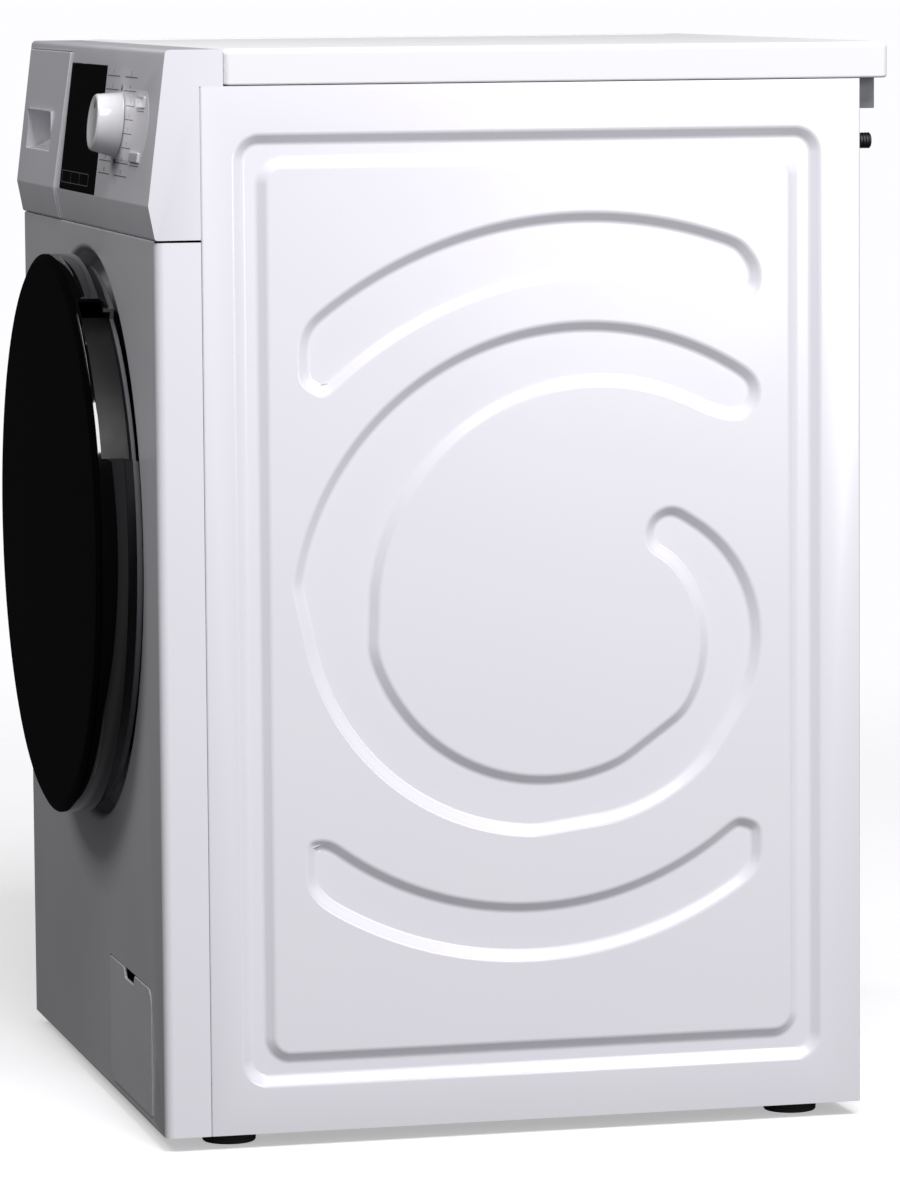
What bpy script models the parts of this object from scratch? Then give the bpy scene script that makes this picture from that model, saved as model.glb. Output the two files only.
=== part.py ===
"""Front load washing machine, built from its separate pieces.

Metres, +Z up, the door faces -Y. The origin is on the floor under the middle of the
machine's box. Depths are measured back from the front panel's face (FRONT_Y).
"""

import math

import bmesh
import bpy
from mathutils import Matrix, Vector

MM = 0.001

# ---------------------------------------------------------------- driving sizes
WIDTH = 595 * MM
HEIGHT = 850 * MM
BODY_DEPTH = 561 * MM
WORKTOP_OVERHANG = 23 * MM
DOOR_REACH = 35 * MM
GROUND_GAP = 12 * MM
SHEET = 1 * MM
GAP = 0.3 * MM
SEAM = 0.6 * MM

WORKTOP_THICKNESS = 28.2 * MM
WORKTOP_SETBACK = 54.5 * MM
WORKTOP_EDGE_RADIUS = 4 * MM

CONSOLE_HEIGHT = 145 * MM
CONSOLE_WALL = 2.5 * MM
CONSOLE_FOLD_HEIGHT = 26 * MM
CONSOLE_FOLD_REACH = 5 * MM
CONSOLE_TOP_SETBACK = 9.7 * MM
CONSOLE_TOP_DROP = 0.5 * MM

PANEL_WRAP = 36 * MM
PANEL_EDGE_RADIUS = 7 * MM
FLANGE = 10 * MM

GROOVE_DEPTH = 5 * MM
GROOVE_SLOPE = 9 * MM
GROOVE_WIDTH = 29 * MM
GROOVE_FRONT_MARGIN = 24 * MM
GROOVE_REAR_MARGIN = 31 * MM
GROOVE_BOTTOM_MARGIN = 35 * MM
GROOVE_TOP_MARGIN = 35 * MM
GROOVE_CORNER_RADIUS = 22 * MM

DOOR_RADIUS = 226.5 * MM
DOOR_AXIS_HEIGHT = 455.5 * MM
DOOR_WALL = 3 * MM
DOOR_GLASS_THICKNESS = 3.7 * MM
DOOR_CHAMFER = 6 * MM
DOOR_STEP = 8 * MM
DOOR_BAND = 70.5 * MM
DOOR_RING_BORE = DOOR_RADIUS - DOOR_BAND
RECESS_CLEARANCE = 8.5 * MM
RECESS_RADIUS = DOOR_RADIUS + RECESS_CLEARANCE
RECESS_LIP = 6 * MM
RECESS_DEPTH = 20.5 * MM
OPENING_MARGIN = 24 * MM
OPENING_RADIUS = DOOR_RING_BORE + OPENING_MARGIN
OPENING_LIP = 10 * MM
BOWL_DEPTH = 108 * MM
BOWL_TAPER = 56 * MM
BOWL_BACK_RADIUS = DOOR_RING_BORE - BOWL_TAPER
GLASS_WALL = 4 * MM

HINGE_INSET = 12.5 * MM
HINGE_FORWARD = 16 * MM
HINGE_PIN_RADIUS = 3 * MM
HINGE_KNUCKLE_RADIUS = 5.5 * MM
HINGE_HALF_LENGTH = 46 * MM
HINGE_EAR = 8 * MM
HINGE_PLATE = 2.6 * MM
HOOK_INSET = 21.5 * MM
HOOK_X = DOOR_RADIUS - HOOK_INSET

GRIP_START = 20
GRIP_END = 60
GRIP_DEPTH = 20 * MM

TUB_RADIUS = 262 * MM
TUB_WALL = 4 * MM
TUB_FRONT = 70 * MM
TUB_SPLIT = 250 * MM
TUB_BACK = 468 * MM
TUB_MOUTH_STEP = 16.5 * MM
TUB_MOUTH_RADIUS = OPENING_RADIUS - TUB_MOUTH_STEP
TUB_NECK = 14 * MM
TUB_FLANGE = 8 * MM
HUB_LENGTH = 42 * MM
GASKET_LIP = OPENING_RADIUS - 32.5 * MM

DRUM_GAP = 22 * MM
DRUM_RADIUS = TUB_RADIUS - DRUM_GAP
DRUM_SHEET = 1.2 * MM
DRUM_MOUTH_RADIUS = TUB_MOUTH_RADIUS - 6.5 * MM
DRUM_CLEARANCE = 16 * MM
LIFTER_COUNT = 3
LIFTER_HEIGHT = 45 * MM
LIFTER_HALF_WIDTH = 27 * MM
LIFTER_END_GAP = 30 * MM

SHAFT_RADIUS = 12.5 * MM
BEARING_WALL = 13.5 * MM
BEARING_RADIUS = SHAFT_RADIUS + BEARING_WALL
HUB_RADIUS = BEARING_RADIUS + 19 * MM
BEARING_LENGTH = 36 * MM
DRUM_PULLEY_RADIUS = 140 * MM
MOTOR_PULLEY_RADIUS = 11 * MM
PULLEY_WIDTH = 14 * MM
PULLEY_HOLES = 5
BELT_WIDTH = 10 * MM
BELT_THICKNESS = 2.5 * MM
MOTOR_RADIUS = 58 * MM
MOTOR_LENGTH = 130 * MM
MOTOR_X = 30 * MM
MOTOR_CLEARANCE = 17 * MM
MOTOR_DROP = TUB_RADIUS + MOTOR_RADIUS + MOTOR_CLEARANCE
HEATER_ROD_RADIUS = 3.5 * MM
HEATER_HALF_WIDTH = 16 * MM

DAMPER_X = 180 * MM
DAMPER_Y = 300 * MM
DAMPER_RADIUS = 16 * MM
DAMPER_ROD_RADIUS = 5 * MM
DAMPER_BORE_CLEARANCE = 0.6 * MM
SPRING_X = 225 * MM
SPRING_Y = 330 * MM
SPRING_RADIUS = 14 * MM
SPRING_WIRE_RADIUS = 1.8 * MM
SPRING_TURNS = 7
SPRING_LUG_HEIGHT = 640 * MM

BASE_HEIGHT = 45 * MM
BASE_SHEET = 1.5 * MM
FOOT_INSET = 45 * MM
FOOT_RADIUS = 21 * MM
FOOT_PAD = 9 * MM
FOOT_STUD_RADIUS = 5 * MM
FOOT_STUD_TOP = 42 * MM

DRAWER_LEFT_MARGIN = 7.5 * MM
DRAWER_SEAM_TOP = -96 * MM
DRAWER_SEAM_BOTTOM = -115 * MM
DRAWER_FRONT_THICKNESS = 10 * MM
DRAWER_PROUD = 1.5 * MM
DRAWER_TOP_MARGIN = 7 * MM
TRAY_DEPTH = 222 * MM
TRAY_HEIGHT = 56 * MM
TRAY_WALL = 2 * MM
TRAY_TOP_MARGIN = 62 * MM
HANDLE_LEFT = -262 * MM
HANDLE_RIGHT = -149 * MM
HANDLE_HEIGHT = 33 * MM
HANDLE_DROP = 57 * MM
HANDLE_POCKET = 30 * MM
HANDLE_WALL = 2.5 * MM

DISPLAY_LEFT = -90 * MM
DISPLAY_RIGHT = 69 * MM
DISPLAY_BOTTOM_DROP = 118.5 * MM
DISPLAY_TOP_DROP = 16 * MM
DISPLAY_GLASS = 2.2 * MM
KNOB_X = 140 * MM
KNOB_DROP = 61 * MM
KNOB_BASE_RADIUS = 26 * MM
KNOB_FACE_RADIUS = 22.5 * MM
KNOB_HEIGHT = 21 * MM
KNOB_SHAFT_RADIUS = 3 * MM
BUTTON_CLEARANCE = 0.5 * MM
BUTTONS = {
    "button_upper": (226 * MM, 41.5 * MM, 30 * MM, 9 * MM),
    "button_lower": (223 * MM, 84 * MM, 36 * MM, 8 * MM),
}

FLAP_LEFT = 68 * MM
FLAP_RIGHT = 244 * MM
FLAP_BOTTOM = 18 * MM
FLAP_TOP = 119 * MM
FLAP_RADIUS = 13 * MM
FLAP_SMALL_RADIUS = 3 * MM
FLAP_THICKNESS = 2.5 * MM
FLAP_PROUD = 0.5 * MM
FLAP_GAP = 1 * MM
FLAP_NOTCH_WIDTH = 44 * MM
FLAP_NOTCH_DEPTH = 8 * MM
PUMP_HEIGHT = 84 * MM
PUMP_RADIUS = 32 * MM
PUMP_LENGTH = 110 * MM
FILTER_RADIUS = 24 * MM
FILTER_CAP_RADIUS = 30 * MM

COVER_WIDTH = 360 * MM
COVER_HEIGHT = 400 * MM
COVER_BOTTOM = 135 * MM
COVER_SHEET = 0.8 * MM
COVER_DOME = 8 * MM
RAIL_HALF = 270 * MM
RAIL_DEPTH = 20 * MM
RAIL_HEIGHT = 24 * MM
BRACE_HEIGHT = 20 * MM
FITTING_DROP = 78 * MM
REAR_FITTINGS = {
    "inlet_valve": (-230 * MM, HEIGHT - FITTING_DROP, 20 * MM),
    "cable_gland": (262 * MM, HEIGHT - FITTING_DROP, 9.5 * MM),
    "drain_spigot": (225 * MM, HEIGHT - FITTING_DROP - 60 * MM, 12 * MM),
}
FITTING_REACH = 19 * MM

BOARD_DEPTH = 14 * MM
WEIGHT_INNER = OPENING_RADIUS + 14 * MM
WEIGHT_OUTER = TUB_RADIUS + 4 * MM
WEIGHT_THICKNESS = 30 * MM
WEIGHT_START = 20
WEIGHT_END = 160
TOP_WEIGHT = (200 * MM, 150 * MM, 54 * MM)
TOP_WEIGHT_Y = 160 * MM

BIG_ROUND = 32
DOOR_ROUND = 36
MID_ROUND = 24
SMALL_ROUND = 16
CORNER_STEPS = 4

# ---------------------------------------------------------------- places that follow
FRONT_Y = -(BODY_DEPTH + WORKTOP_OVERHANG - DOOR_REACH) / 2
BACK = BODY_DEPTH
HALF = WIDTH / 2
WORKTOP_BOTTOM = HEIGHT - WORKTOP_THICKNESS
CONSOLE_BOTTOM = HEIGHT - CONSOLE_HEIGHT
CONSOLE_TOP = HEIGHT - CONSOLE_TOP_DROP
FOLD_HEIGHT = CONSOLE_BOTTOM + CONSOLE_FOLD_HEIGHT
FRONT_TOP = CONSOLE_BOTTOM - SEAM
AXIS_Z = DOOR_AXIS_HEIGHT
HINGE_X = -(DOOR_RADIUS - HINGE_INSET)
HINGE_Z = AXIS_Z
CONSOLE_TILT = math.atan2(CONSOLE_TOP_SETBACK + CONSOLE_FOLD_REACH, CONSOLE_TOP - FOLD_HEIGHT)
PULLEY_FRONT = TUB_BACK + 12 * MM + 6 * MM
DRUM_BACK = TUB_BACK - HUB_LENGTH + 2 * MM
DRUM_FRONT = TUB_FRONT + DRUM_CLEARANCE

FINISHES = {
    "enamel": ((0.86, 0.86, 0.89), 0.28, 0.0),
    "white_plastic": ((0.83, 0.83, 0.85), 0.35, 0.0),
    "grey_plastic": ((0.35, 0.36, 0.38), 0.5, 0.0),
    "dark_plastic": ((0.03, 0.03, 0.035), 0.45, 0.0),
    "black_gloss": ((0.012, 0.012, 0.014), 0.08, 0.0),
    "glass": ((0.55, 0.62, 0.62), 0.05, 0.0),
    "rubber": ((0.22, 0.23, 0.24), 0.7, 0.0),
    "black_rubber": ((0.02, 0.02, 0.02), 0.75, 0.0),
    "zinc_steel": ((0.62, 0.63, 0.64), 0.4, 1.0),
    "stainless": ((0.7, 0.7, 0.69), 0.25, 1.0),
    "aluminium": ((0.72, 0.73, 0.74), 0.38, 1.0),
    "concrete": ((0.4, 0.39, 0.37), 0.9, 0.0),
    "tub_plastic": ((0.5, 0.52, 0.54), 0.5, 0.0),
    "circuit_board": ((0.03, 0.18, 0.08), 0.5, 0.0),
}

PARTS = None
CUTTERS = None


# ---------------------------------------------------------------- general helpers
def deep(distance):
    """World Y of a depth measured back from the front panel's face."""
    return FRONT_Y + distance


def clear_scene():
    """Remove every object, and make the two collections."""
    for item in list(bpy.data.objects):
        bpy.data.objects.remove(item, do_unlink=True)
    parts = bpy.data.collections.new("front_load_washing_machine")
    cutters = bpy.data.collections.new("cutters")
    bpy.context.scene.collection.children.link(parts)
    bpy.context.scene.collection.children.link(cutters)
    return parts, cutters


def dress(item, finish):
    """Give a piece its own material."""
    colour, roughness, metallic = FINISHES[finish]
    coat = bpy.data.materials.new(item.name + "_" + finish)
    coat.use_nodes = True
    shader = coat.node_tree.nodes["Principled BSDF"]
    shader.inputs["Base Color"].default_value = (*colour, 1.0)
    shader.inputs["Roughness"].default_value = roughness
    shader.inputs["Metallic"].default_value = metallic
    item.data.materials.append(coat)


def add_item(name, data, finish, place=(0, 0, 0)):
    """Put a mesh or a curve in the scene: a part with a finish, or a cutter without one."""
    item = bpy.data.objects.new(name, data)
    item.location = place
    if finish is None:
        CUTTERS.objects.link(item)
        item.hide_render = True
        item.display_type = "WIRE"
    else:
        PARTS.objects.link(item)
        dress(item, finish)
    return item


def finish_mesh(name, bm, finish, place=(0, 0, 0)):
    """Turn a bmesh into an object."""
    mesh = bpy.data.meshes.new(name)
    bm.to_mesh(mesh)
    bm.free()
    return add_item(name, mesh, finish, place)


def smooth(item):
    """Shade a round piece smooth, with its sharp edges kept."""
    item.data.shade_smooth()
    item.data.set_sharp_from_angle(angle=math.radians(35))


def block(name, low, high, finish, place=(0, 0, 0)):
    """A box between two corners, given relative to its place."""
    low = Vector(low)
    high = Vector(high)
    bm = bmesh.new()
    bmesh.ops.create_cube(bm, size=1.0)
    bmesh.ops.scale(bm, vec=high - low, verts=bm.verts)
    bmesh.ops.translate(bm, vec=(low + high) / 2, verts=bm.verts)
    return finish_mesh(name, bm, finish, place)


def rod(name, radius, start, end, finish, sides=SMALL_ROUND, place=(0, 0, 0)):
    """A cylinder between two points, given relative to its place."""
    start = Vector(start)
    end = Vector(end)
    along = end - start
    turn = along.to_track_quat("Z", "Y").to_matrix().to_4x4()
    bm = bmesh.new()
    bmesh.ops.create_cone(bm, cap_ends=True, segments=sides, radius1=radius, radius2=radius,
                          depth=along.length)
    bmesh.ops.transform(bm, matrix=Matrix.Translation((start + end) / 2) @ turn, verts=bm.verts)
    item = finish_mesh(name, bm, finish, place)
    smooth(item)
    return item


def signed_area(points):
    """Area inside a closed outline, positive when it runs anticlockwise."""
    total = 0.0
    for (x0, y0), (x1, y1) in zip(points, points[1:] + points[:1]):
        total += x0 * y1 - x1 * y0
    return total / 2


def turned(name, profile, finish, place, sides=BIG_ROUND, axis="Y"):
    """A turned piece: (radius, height along the axis) points, closed on itself or on the axis."""
    points = list(profile)
    if signed_area(points) > 0:
        points.reverse()
    on_axis = [index for index, point in enumerate(points) if point[0] == 0.0]
    open_ended = bool(on_axis)
    if open_ended:
        while not (points[0][0] == 0.0 and points[-1][0] == 0.0):
            points = points[1:] + points[:1]
    bm = bmesh.new()
    verts = []
    for radius, height in points:
        spot = (radius, height, 0) if axis == "Y" else (radius, 0, height)
        verts.append(bm.verts.new(spot))
    for first, second in zip(verts, verts[1:]):
        bm.edges.new((first, second))
    if not open_ended:
        bm.edges.new((verts[-1], verts[0]))
    item = finish_mesh(name, bm, finish, place)
    screw = item.modifiers.new("turn", "SCREW")
    screw.axis = axis
    screw.steps = sides
    screw.render_steps = sides
    screw.use_merge_vertices = True
    screw.merge_threshold = 0.00001
    return item


def solid_from_curve(curve_item, finish):
    """Make a mesh piece of a curve: its caps are welded and it keeps its place."""
    bpy.context.view_layer.update()
    graph = bpy.context.evaluated_depsgraph_get()
    mesh = bpy.data.meshes.new_from_object(curve_item.evaluated_get(graph))
    mesh.materials.clear()
    bm = bmesh.new()
    bm.from_mesh(mesh)
    bmesh.ops.remove_doubles(bm, verts=bm.verts, dist=0.00001)
    bmesh.ops.recalc_face_normals(bm, faces=bm.faces)
    bm.to_mesh(mesh)
    bm.free()
    name = curve_item.name
    world = curve_item.matrix_world.copy()
    bpy.data.objects.remove(curve_item, do_unlink=True)
    item = add_item(name, mesh, finish)
    item.name = name
    item.matrix_world = world
    return item


PLANES = {
    "XY": (0.0, 0.0, 0.0),
    "XZ": (math.pi / 2, 0.0, 0.0),
    "YZ": (math.pi / 2, 0.0, math.pi / 2),
}


def plate(name, outlines, thickness, plane, place, finish):
    """A flat piece of one thickness; outlines after the first are its holes."""
    data = bpy.data.curves.new(name, "CURVE")
    data.dimensions = "2D"
    data.fill_mode = "BOTH"
    data.extrude = thickness / 2
    data.render_resolution_u = 0
    for outline in outlines:
        spline = data.splines.new("POLY")
        spline.points.add(len(outline) - 1)
        for point, (across, up) in zip(spline.points, outline):
            point.co = (across, up, 0, 1)
        spline.use_cyclic_u = True
    curve_item = bpy.data.objects.new(name, data)
    CUTTERS.objects.link(curve_item)
    curve_item.location = place
    curve_item.rotation_euler = PLANES[plane]
    return solid_from_curve(curve_item, finish)


def wire(name, route, radius, finish, place=(0, 0, 0)):
    """A round rod bent along a route."""
    data = bpy.data.curves.new(name, "CURVE")
    data.dimensions = "3D"
    data.bevel_depth = radius
    data.bevel_resolution = 1
    data.use_fill_caps = True
    data.render_resolution_u = 0
    spline = data.splines.new("POLY")
    spline.points.add(len(route) - 1)
    for point, spot in zip(spline.points, route):
        point.co = (*spot, 1)
    curve_item = bpy.data.objects.new(name, data)
    CUTTERS.objects.link(curve_item)
    curve_item.location = place
    return solid_from_curve(curve_item, finish)


def combine(item, tool, operation):
    """Cut a piece with a tool, or join the tool to it."""
    change = item.modifiers.new(operation.lower(), "BOOLEAN")
    change.operation = operation
    change.solver = "EXACT"
    change.object = tool


def cut(item, tool):
    """Take the tool's shape out of a piece."""
    combine(item, tool, "DIFFERENCE")


def join(item, tool):
    """Make the tool's shape part of a piece."""
    combine(item, tool, "UNION")


def round_edges(item, width, segments=2, angle=40):
    """Round a piece's sharp edges."""
    bevel = item.modifiers.new("rounding", "BEVEL")
    bevel.width = width
    bevel.segments = segments
    bevel.limit_method = "ANGLE"
    bevel.angle_limit = math.radians(angle)


def empty(name, place, tilt=0.0):
    """A marker on a joint's axis."""
    marker = bpy.data.objects.new(name, None)
    marker.location = place
    marker.rotation_euler = (tilt, 0, 0)
    PARTS.objects.link(marker)
    return marker


def hang(items, marker):
    """Parent pieces to an unturned marker, and leave them where they are."""
    for item in items:
        item.parent = marker
        item.location = Vector(item.location) - Vector(marker.location)


def mount(items, marker):
    """Parent pieces that were drawn in a marker's own axes."""
    for item in items:
        item.parent = marker


# ---------------------------------------------------------------- outlines
def arc(centre, radius, start, end, steps):
    """Points along an arc, angles in degrees."""
    points = []
    for index in range(steps + 1):
        angle = math.radians(start + (end - start) * index / steps)
        points.append((centre[0] + radius * math.cos(angle), centre[1] + radius * math.sin(angle)))
    return points


def rounded_corner(before, corner, after, radius, steps):
    """Points of a fillet between two straight sides."""
    corner = Vector(corner)
    to_before = (Vector(before) - corner).normalized()
    to_after = (Vector(after) - corner).normalized()
    half = to_before.angle(to_after) / 2
    reach = radius / math.tan(half)
    middle = corner + (to_before + to_after).normalized() * (radius / math.sin(half))
    first = corner + to_before * reach - middle
    last = corner + to_after * reach - middle
    sweep = first.angle_signed(last)
    points = []
    for index in range(steps + 1):
        spoke = first.copy()
        spoke.rotate(Matrix.Rotation(-sweep * index / steps, 2))
        points.append(tuple(middle + spoke))
    return points


def rounded_outline(corners, steps=CORNER_STEPS):
    """A closed outline from (x, y, radius) corners; radius 0 keeps the corner as a point."""
    points = []
    count = len(corners)
    for index, (x, y, radius) in enumerate(corners):
        before = corners[index - 1][:2]
        after = corners[(index + 1) % count][:2]
        if radius > 0:
            points += rounded_corner(before, (x, y), after, radius, steps)
        else:
            points.append((x, y))
    return points


def rectangle(low, high, radius=0.0, steps=CORNER_STEPS):
    """A rectangle with rounded corners."""
    x0, y0 = low
    x1, y1 = high
    return rounded_outline([(x0, y0, radius), (x1, y0, radius), (x1, y1, radius), (x0, y1, radius)], steps)


def circle(centre, radius, steps=BIG_ROUND):
    """A closed circle."""
    return arc(centre, radius, 0, 360, steps)[:-1]


# ---------------------------------------------------------------- sheet helpers
def add_loop(bm, points, to_space):
    """A closed loop of edges; returns its vertices."""
    verts = [bm.verts.new(to_space(point)) for point in points]
    for first, second in zip(verts, verts[1:] + verts[:1]):
        bm.edges.new((first, second))
    return verts


def loop_edges(verts):
    """The edges between neighbouring vertices of a closed loop."""
    edges = []
    for first, second in zip(verts, verts[1:] + verts[:1]):
        shared = [edge for edge in first.link_edges if edge.other_vert(first) is second]
        edges += shared
    return edges


def fill_between(bm, loops, outward):
    """Fill the area between closed loops; returns faces that look outward."""
    edges = []
    for verts in loops:
        edges += loop_edges(verts)
    filled = bmesh.ops.triangle_fill(bm, use_beauty=True, use_dissolve=False, edges=edges)
    faces = [piece for piece in filled["geom"] if isinstance(piece, bmesh.types.BMFace)]
    turned_in = [face for face in faces if face.normal.dot(outward) < 0]
    bmesh.ops.reverse_faces(bm, faces=turned_in)
    return faces


def pull_rings(bm, verts, centre, rings):
    """Extrude a round edge loop through (radius, depth) rings about the Y axis."""
    edges = loop_edges(verts)
    for radius, depth in rings:
        pulled = bmesh.ops.extrude_edge_only(bm, edges=edges)["geom"]
        new_verts = [piece for piece in pulled if isinstance(piece, bmesh.types.BMVert)]
        edges = [
            piece for piece in pulled
            if isinstance(piece, bmesh.types.BMEdge) and all(v in new_verts for v in piece.verts)
        ]
        for vert in new_verts:
            spoke = Vector((vert.co.x - centre[0], 0, vert.co.z - centre[1])).normalized()
            vert.co = Vector((centre[0], 0, centre[1])) + spoke * radius + Vector((0, depth, 0))


def fold_edge(bm, edges, moves):
    """Extrude a straight row of edges by each move in turn."""
    for move in moves:
        pulled = bmesh.ops.extrude_edge_only(bm, edges=edges)["geom"]
        new_verts = [piece for piece in pulled if isinstance(piece, bmesh.types.BMVert)]
        edges = [
            piece for piece in pulled
            if isinstance(piece, bmesh.types.BMEdge) and all(v in new_verts for v in piece.verts)
        ]
        bmesh.ops.translate(bm, vec=move, verts=new_verts)


def boundary_at(bm, axis, value):
    """Open edges that lie in the plane where a coordinate has one value."""
    return [
        edge for edge in bm.edges
        if edge.is_boundary and all(abs(vert.co[axis] - value) < 0.000001 for vert in edge.verts)
    ]


def thicken(item, thickness):
    """Give an open sheet its thickness, behind its outward face."""
    solid = item.modifiers.new("sheet", "SOLIDIFY")
    solid.thickness = thickness
    solid.offset = -1
    solid.use_even_offset = True


# ---------------------------------------------------------------- cabinet
def build_base():
    """The pan under the machine, with a hole for each foot's stud."""
    side = HALF - SHEET - GAP
    front = PANEL_WRAP + SHEET + GAP
    back = BACK - SHEET - GAP
    floor = GROUND_GAP + SHEET
    pan = block("base_frame", (-side, deep(front), floor), (side, deep(back), BASE_HEIGHT), "zinc_steel")
    hollow = block("base_hollow", (-side + BASE_SHEET, deep(front + BASE_SHEET), floor + BASE_SHEET),
                   (side - BASE_SHEET, deep(back - BASE_SHEET), BASE_HEIGHT + BASE_SHEET), None)
    cut(pan, hollow)
    for name, place in foot_places().items():
        hole = rod(name + "_hole", FOOT_STUD_RADIUS + SEAM, (0, 0, 0), (0, 0, BASE_HEIGHT), None, place=place)
        cut(pan, hole)


def foot_places():
    """Where each foot stands."""
    front = deep(PANEL_WRAP + FOOT_INSET / 2)
    back = deep(BACK - FOOT_INSET)
    side = HALF - FOOT_INSET
    return {
        "foot_front_left": (-side, front, 0),
        "foot_front_right": (side, front, 0),
        "foot_rear_left": (-side, back, 0),
        "foot_rear_right": (side, back, 0),
    }


def build_feet():
    """Four levelling feet: a pad and a stud in one."""
    profile = [(0.0, FOOT_STUD_TOP), (FOOT_STUD_RADIUS, FOOT_STUD_TOP), (FOOT_STUD_RADIUS, FOOT_PAD),
               (FOOT_RADIUS - 3 * MM, FOOT_PAD), (FOOT_RADIUS, FOOT_PAD - 3 * MM), (FOOT_RADIUS, 0), (0.0, 0)]
    for name, place in foot_places().items():
        turned(name, profile, "black_rubber", place, SMALL_ROUND, "Z")


def band_outlines(field_low, field_high):
    """The three pressed bands of a side panel, drawn on a 412 x 682 mm field and fitted to it."""
    span_y = (field_high[0] - field_low[0]) / (412 * MM)
    span_z = (field_high[1] - field_low[1]) / (682 * MM)

    def fitted(points):
        return [(field_low[0] + y * MM * span_y, field_low[1] + z * MM * span_z) for y, z in points]

    top = arc((249.9, 300.4), 347.2, 130, 68.3, 8)
    top += [(392.7, 603), (392.7, 582)]
    top += arc((266.6, 272.8), 321.3, 69.3, 134.3, 8)
    top += [(20.5, 516), (20.5, 552)]
    bottom = arc((204, 362.6), 253.3, 230.8, 311.2, 8)
    bottom += [(392.7, 164), (392.7, 130)]
    bottom += arc((203.6, 368.1), 308.1, 305.8, 237, 8)
    bottom += [(23, 124), (23, 166)]
    outer = arc((249.1, 324.6), 238.3, 56, 171, 9)
    outer += arc((215.4, 353.7), 195.5, 189, 268, 6)
    outer += arc((235.2, 320.9), 158.1, 281, 318, 3)
    outer += arc((278.6, 310.8), 114, 325, 415, 6)
    hook = arc((318, 394), 23.3, 72, 224, 4)
    inner = arc((250.6, 308), 88.9, 45, -36, 5)
    inner += arc((217.3, 347.5), 138.3, 295, 196, 7)
    inner += arc((258.1, 336.1), 173.3, 173, 60, 7)
    end = arc((369, 503), 23.3, -104, 36, 4)
    return [fitted(top), fitted(bottom), fitted(outer + hook + inner + end)]


def build_side_panel(name, side):
    """A side sheet with its pressed channel and bands, and flanges at the front and back."""
    low = (PANEL_WRAP, GROUND_GAP)
    high = (BACK, WORKTOP_BOTTOM - GAP)
    channel_low = (low[0] + GROOVE_FRONT_MARGIN, low[1] + GROOVE_BOTTOM_MARGIN)
    channel_high = (high[0] - GROOVE_REAR_MARGIN, high[1] - GROOVE_TOP_MARGIN)
    field_low = (channel_low[0] + GROOVE_WIDTH, channel_low[1] + GROOVE_WIDTH)
    field_high = (channel_high[0] - GROOVE_WIDTH, channel_high[1] - GROOVE_WIDTH)
    outward = Vector((side, 0, 0))

    def to_space(point):
        return (side * HALF, deep(point[0]), point[1])

    bm = bmesh.new()
    rim = add_loop(bm, rectangle(low, high), to_space)
    channel = add_loop(bm, rectangle(channel_low, channel_high, GROOVE_CORNER_RADIUS), to_space)
    field = add_loop(bm, rectangle(field_low, field_high, GROOVE_CORNER_RADIUS / 2), to_space)
    bands = [add_loop(bm, points, to_space) for points in band_outlines(field_low, field_high)]
    fill_between(bm, [rim, channel], outward)
    pressed = [fill_between(bm, [channel, field], outward)]
    fill_between(bm, [field] + bands, outward)
    pressed += [fill_between(bm, [band], outward) for band in bands]
    for faces in pressed:
        bmesh.ops.inset_region(bm, faces=faces, thickness=GROOVE_SLOPE, depth=-GROOVE_DEPTH,
                               use_boundary=True, use_even_offset=True)
    fold_edge(bm, boundary_at(bm, 1, deep(high[0])), [(-side * FLANGE, 0, 0)])
    fold_edge(bm, boundary_at(bm, 1, deep(low[0])), [(-side * FLANGE, 0, 0)])
    panel = finish_mesh(name, bm, "enamel")
    thicken(panel, SHEET)


def build_front_panel():
    """The front sheet: door recess, flap opening and returns round both sides."""
    flat = HALF - PANEL_EDGE_RADIUS
    outward = Vector((0, -1, 0))

    def to_space(point):
        return (point[0], FRONT_Y, point[1])

    bm = bmesh.new()
    rim = add_loop(bm, rectangle((-flat, GROUND_GAP), (flat, FRONT_TOP)), to_space)
    recess = add_loop(bm, circle((0, AXIS_Z), RECESS_RADIUS), to_space)
    flap_hole = add_loop(bm, rounded_outline(flap_corners(FLAP_GAP)), to_space)
    fill_between(bm, [rim, recess, flap_hole], outward)
    floor = RECESS_RADIUS - RECESS_LIP
    pull_rings(bm, recess, (0, AXIS_Z), [
        (RECESS_RADIUS - 2 * MM, deep(1 * MM)),
        (floor, deep(RECESS_LIP)),
        (floor - 1 * MM, deep(RECESS_DEPTH - 2 * MM)),
        (floor - 3 * MM, deep(RECESS_DEPTH)),
        (OPENING_RADIUS, deep(RECESS_DEPTH)),
        (OPENING_RADIUS, deep(RECESS_DEPTH + OPENING_LIP)),
    ])
    for side in (-1, 1):
        edges = boundary_at(bm, 0, side * flat)
        moves = []
        last = Vector((0, 0, 0))
        for x, y in arc((0, PANEL_EDGE_RADIUS), PANEL_EDGE_RADIUS, -90, 0, CORNER_STEPS)[1:]:
            spot = Vector((side * x, y, 0))
            moves.append(spot - last)
            last = spot
        moves.append(Vector((0, PANEL_WRAP - GAP - PANEL_EDGE_RADIUS, 0)))
        fold_edge(bm, edges, moves)
    panel = finish_mesh("front_panel", bm, "enamel")
    thicken(panel, SHEET)
    slot = block("lock_slot", (HOOK_X - 13 * MM, deep(RECESS_DEPTH - 5 * MM), AXIS_Z - 10 * MM),
                 (HOOK_X + 11 * MM, deep(RECESS_DEPTH + 5 * MM), AXIS_Z + 10 * MM), None)
    cut(panel, slot)


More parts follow.
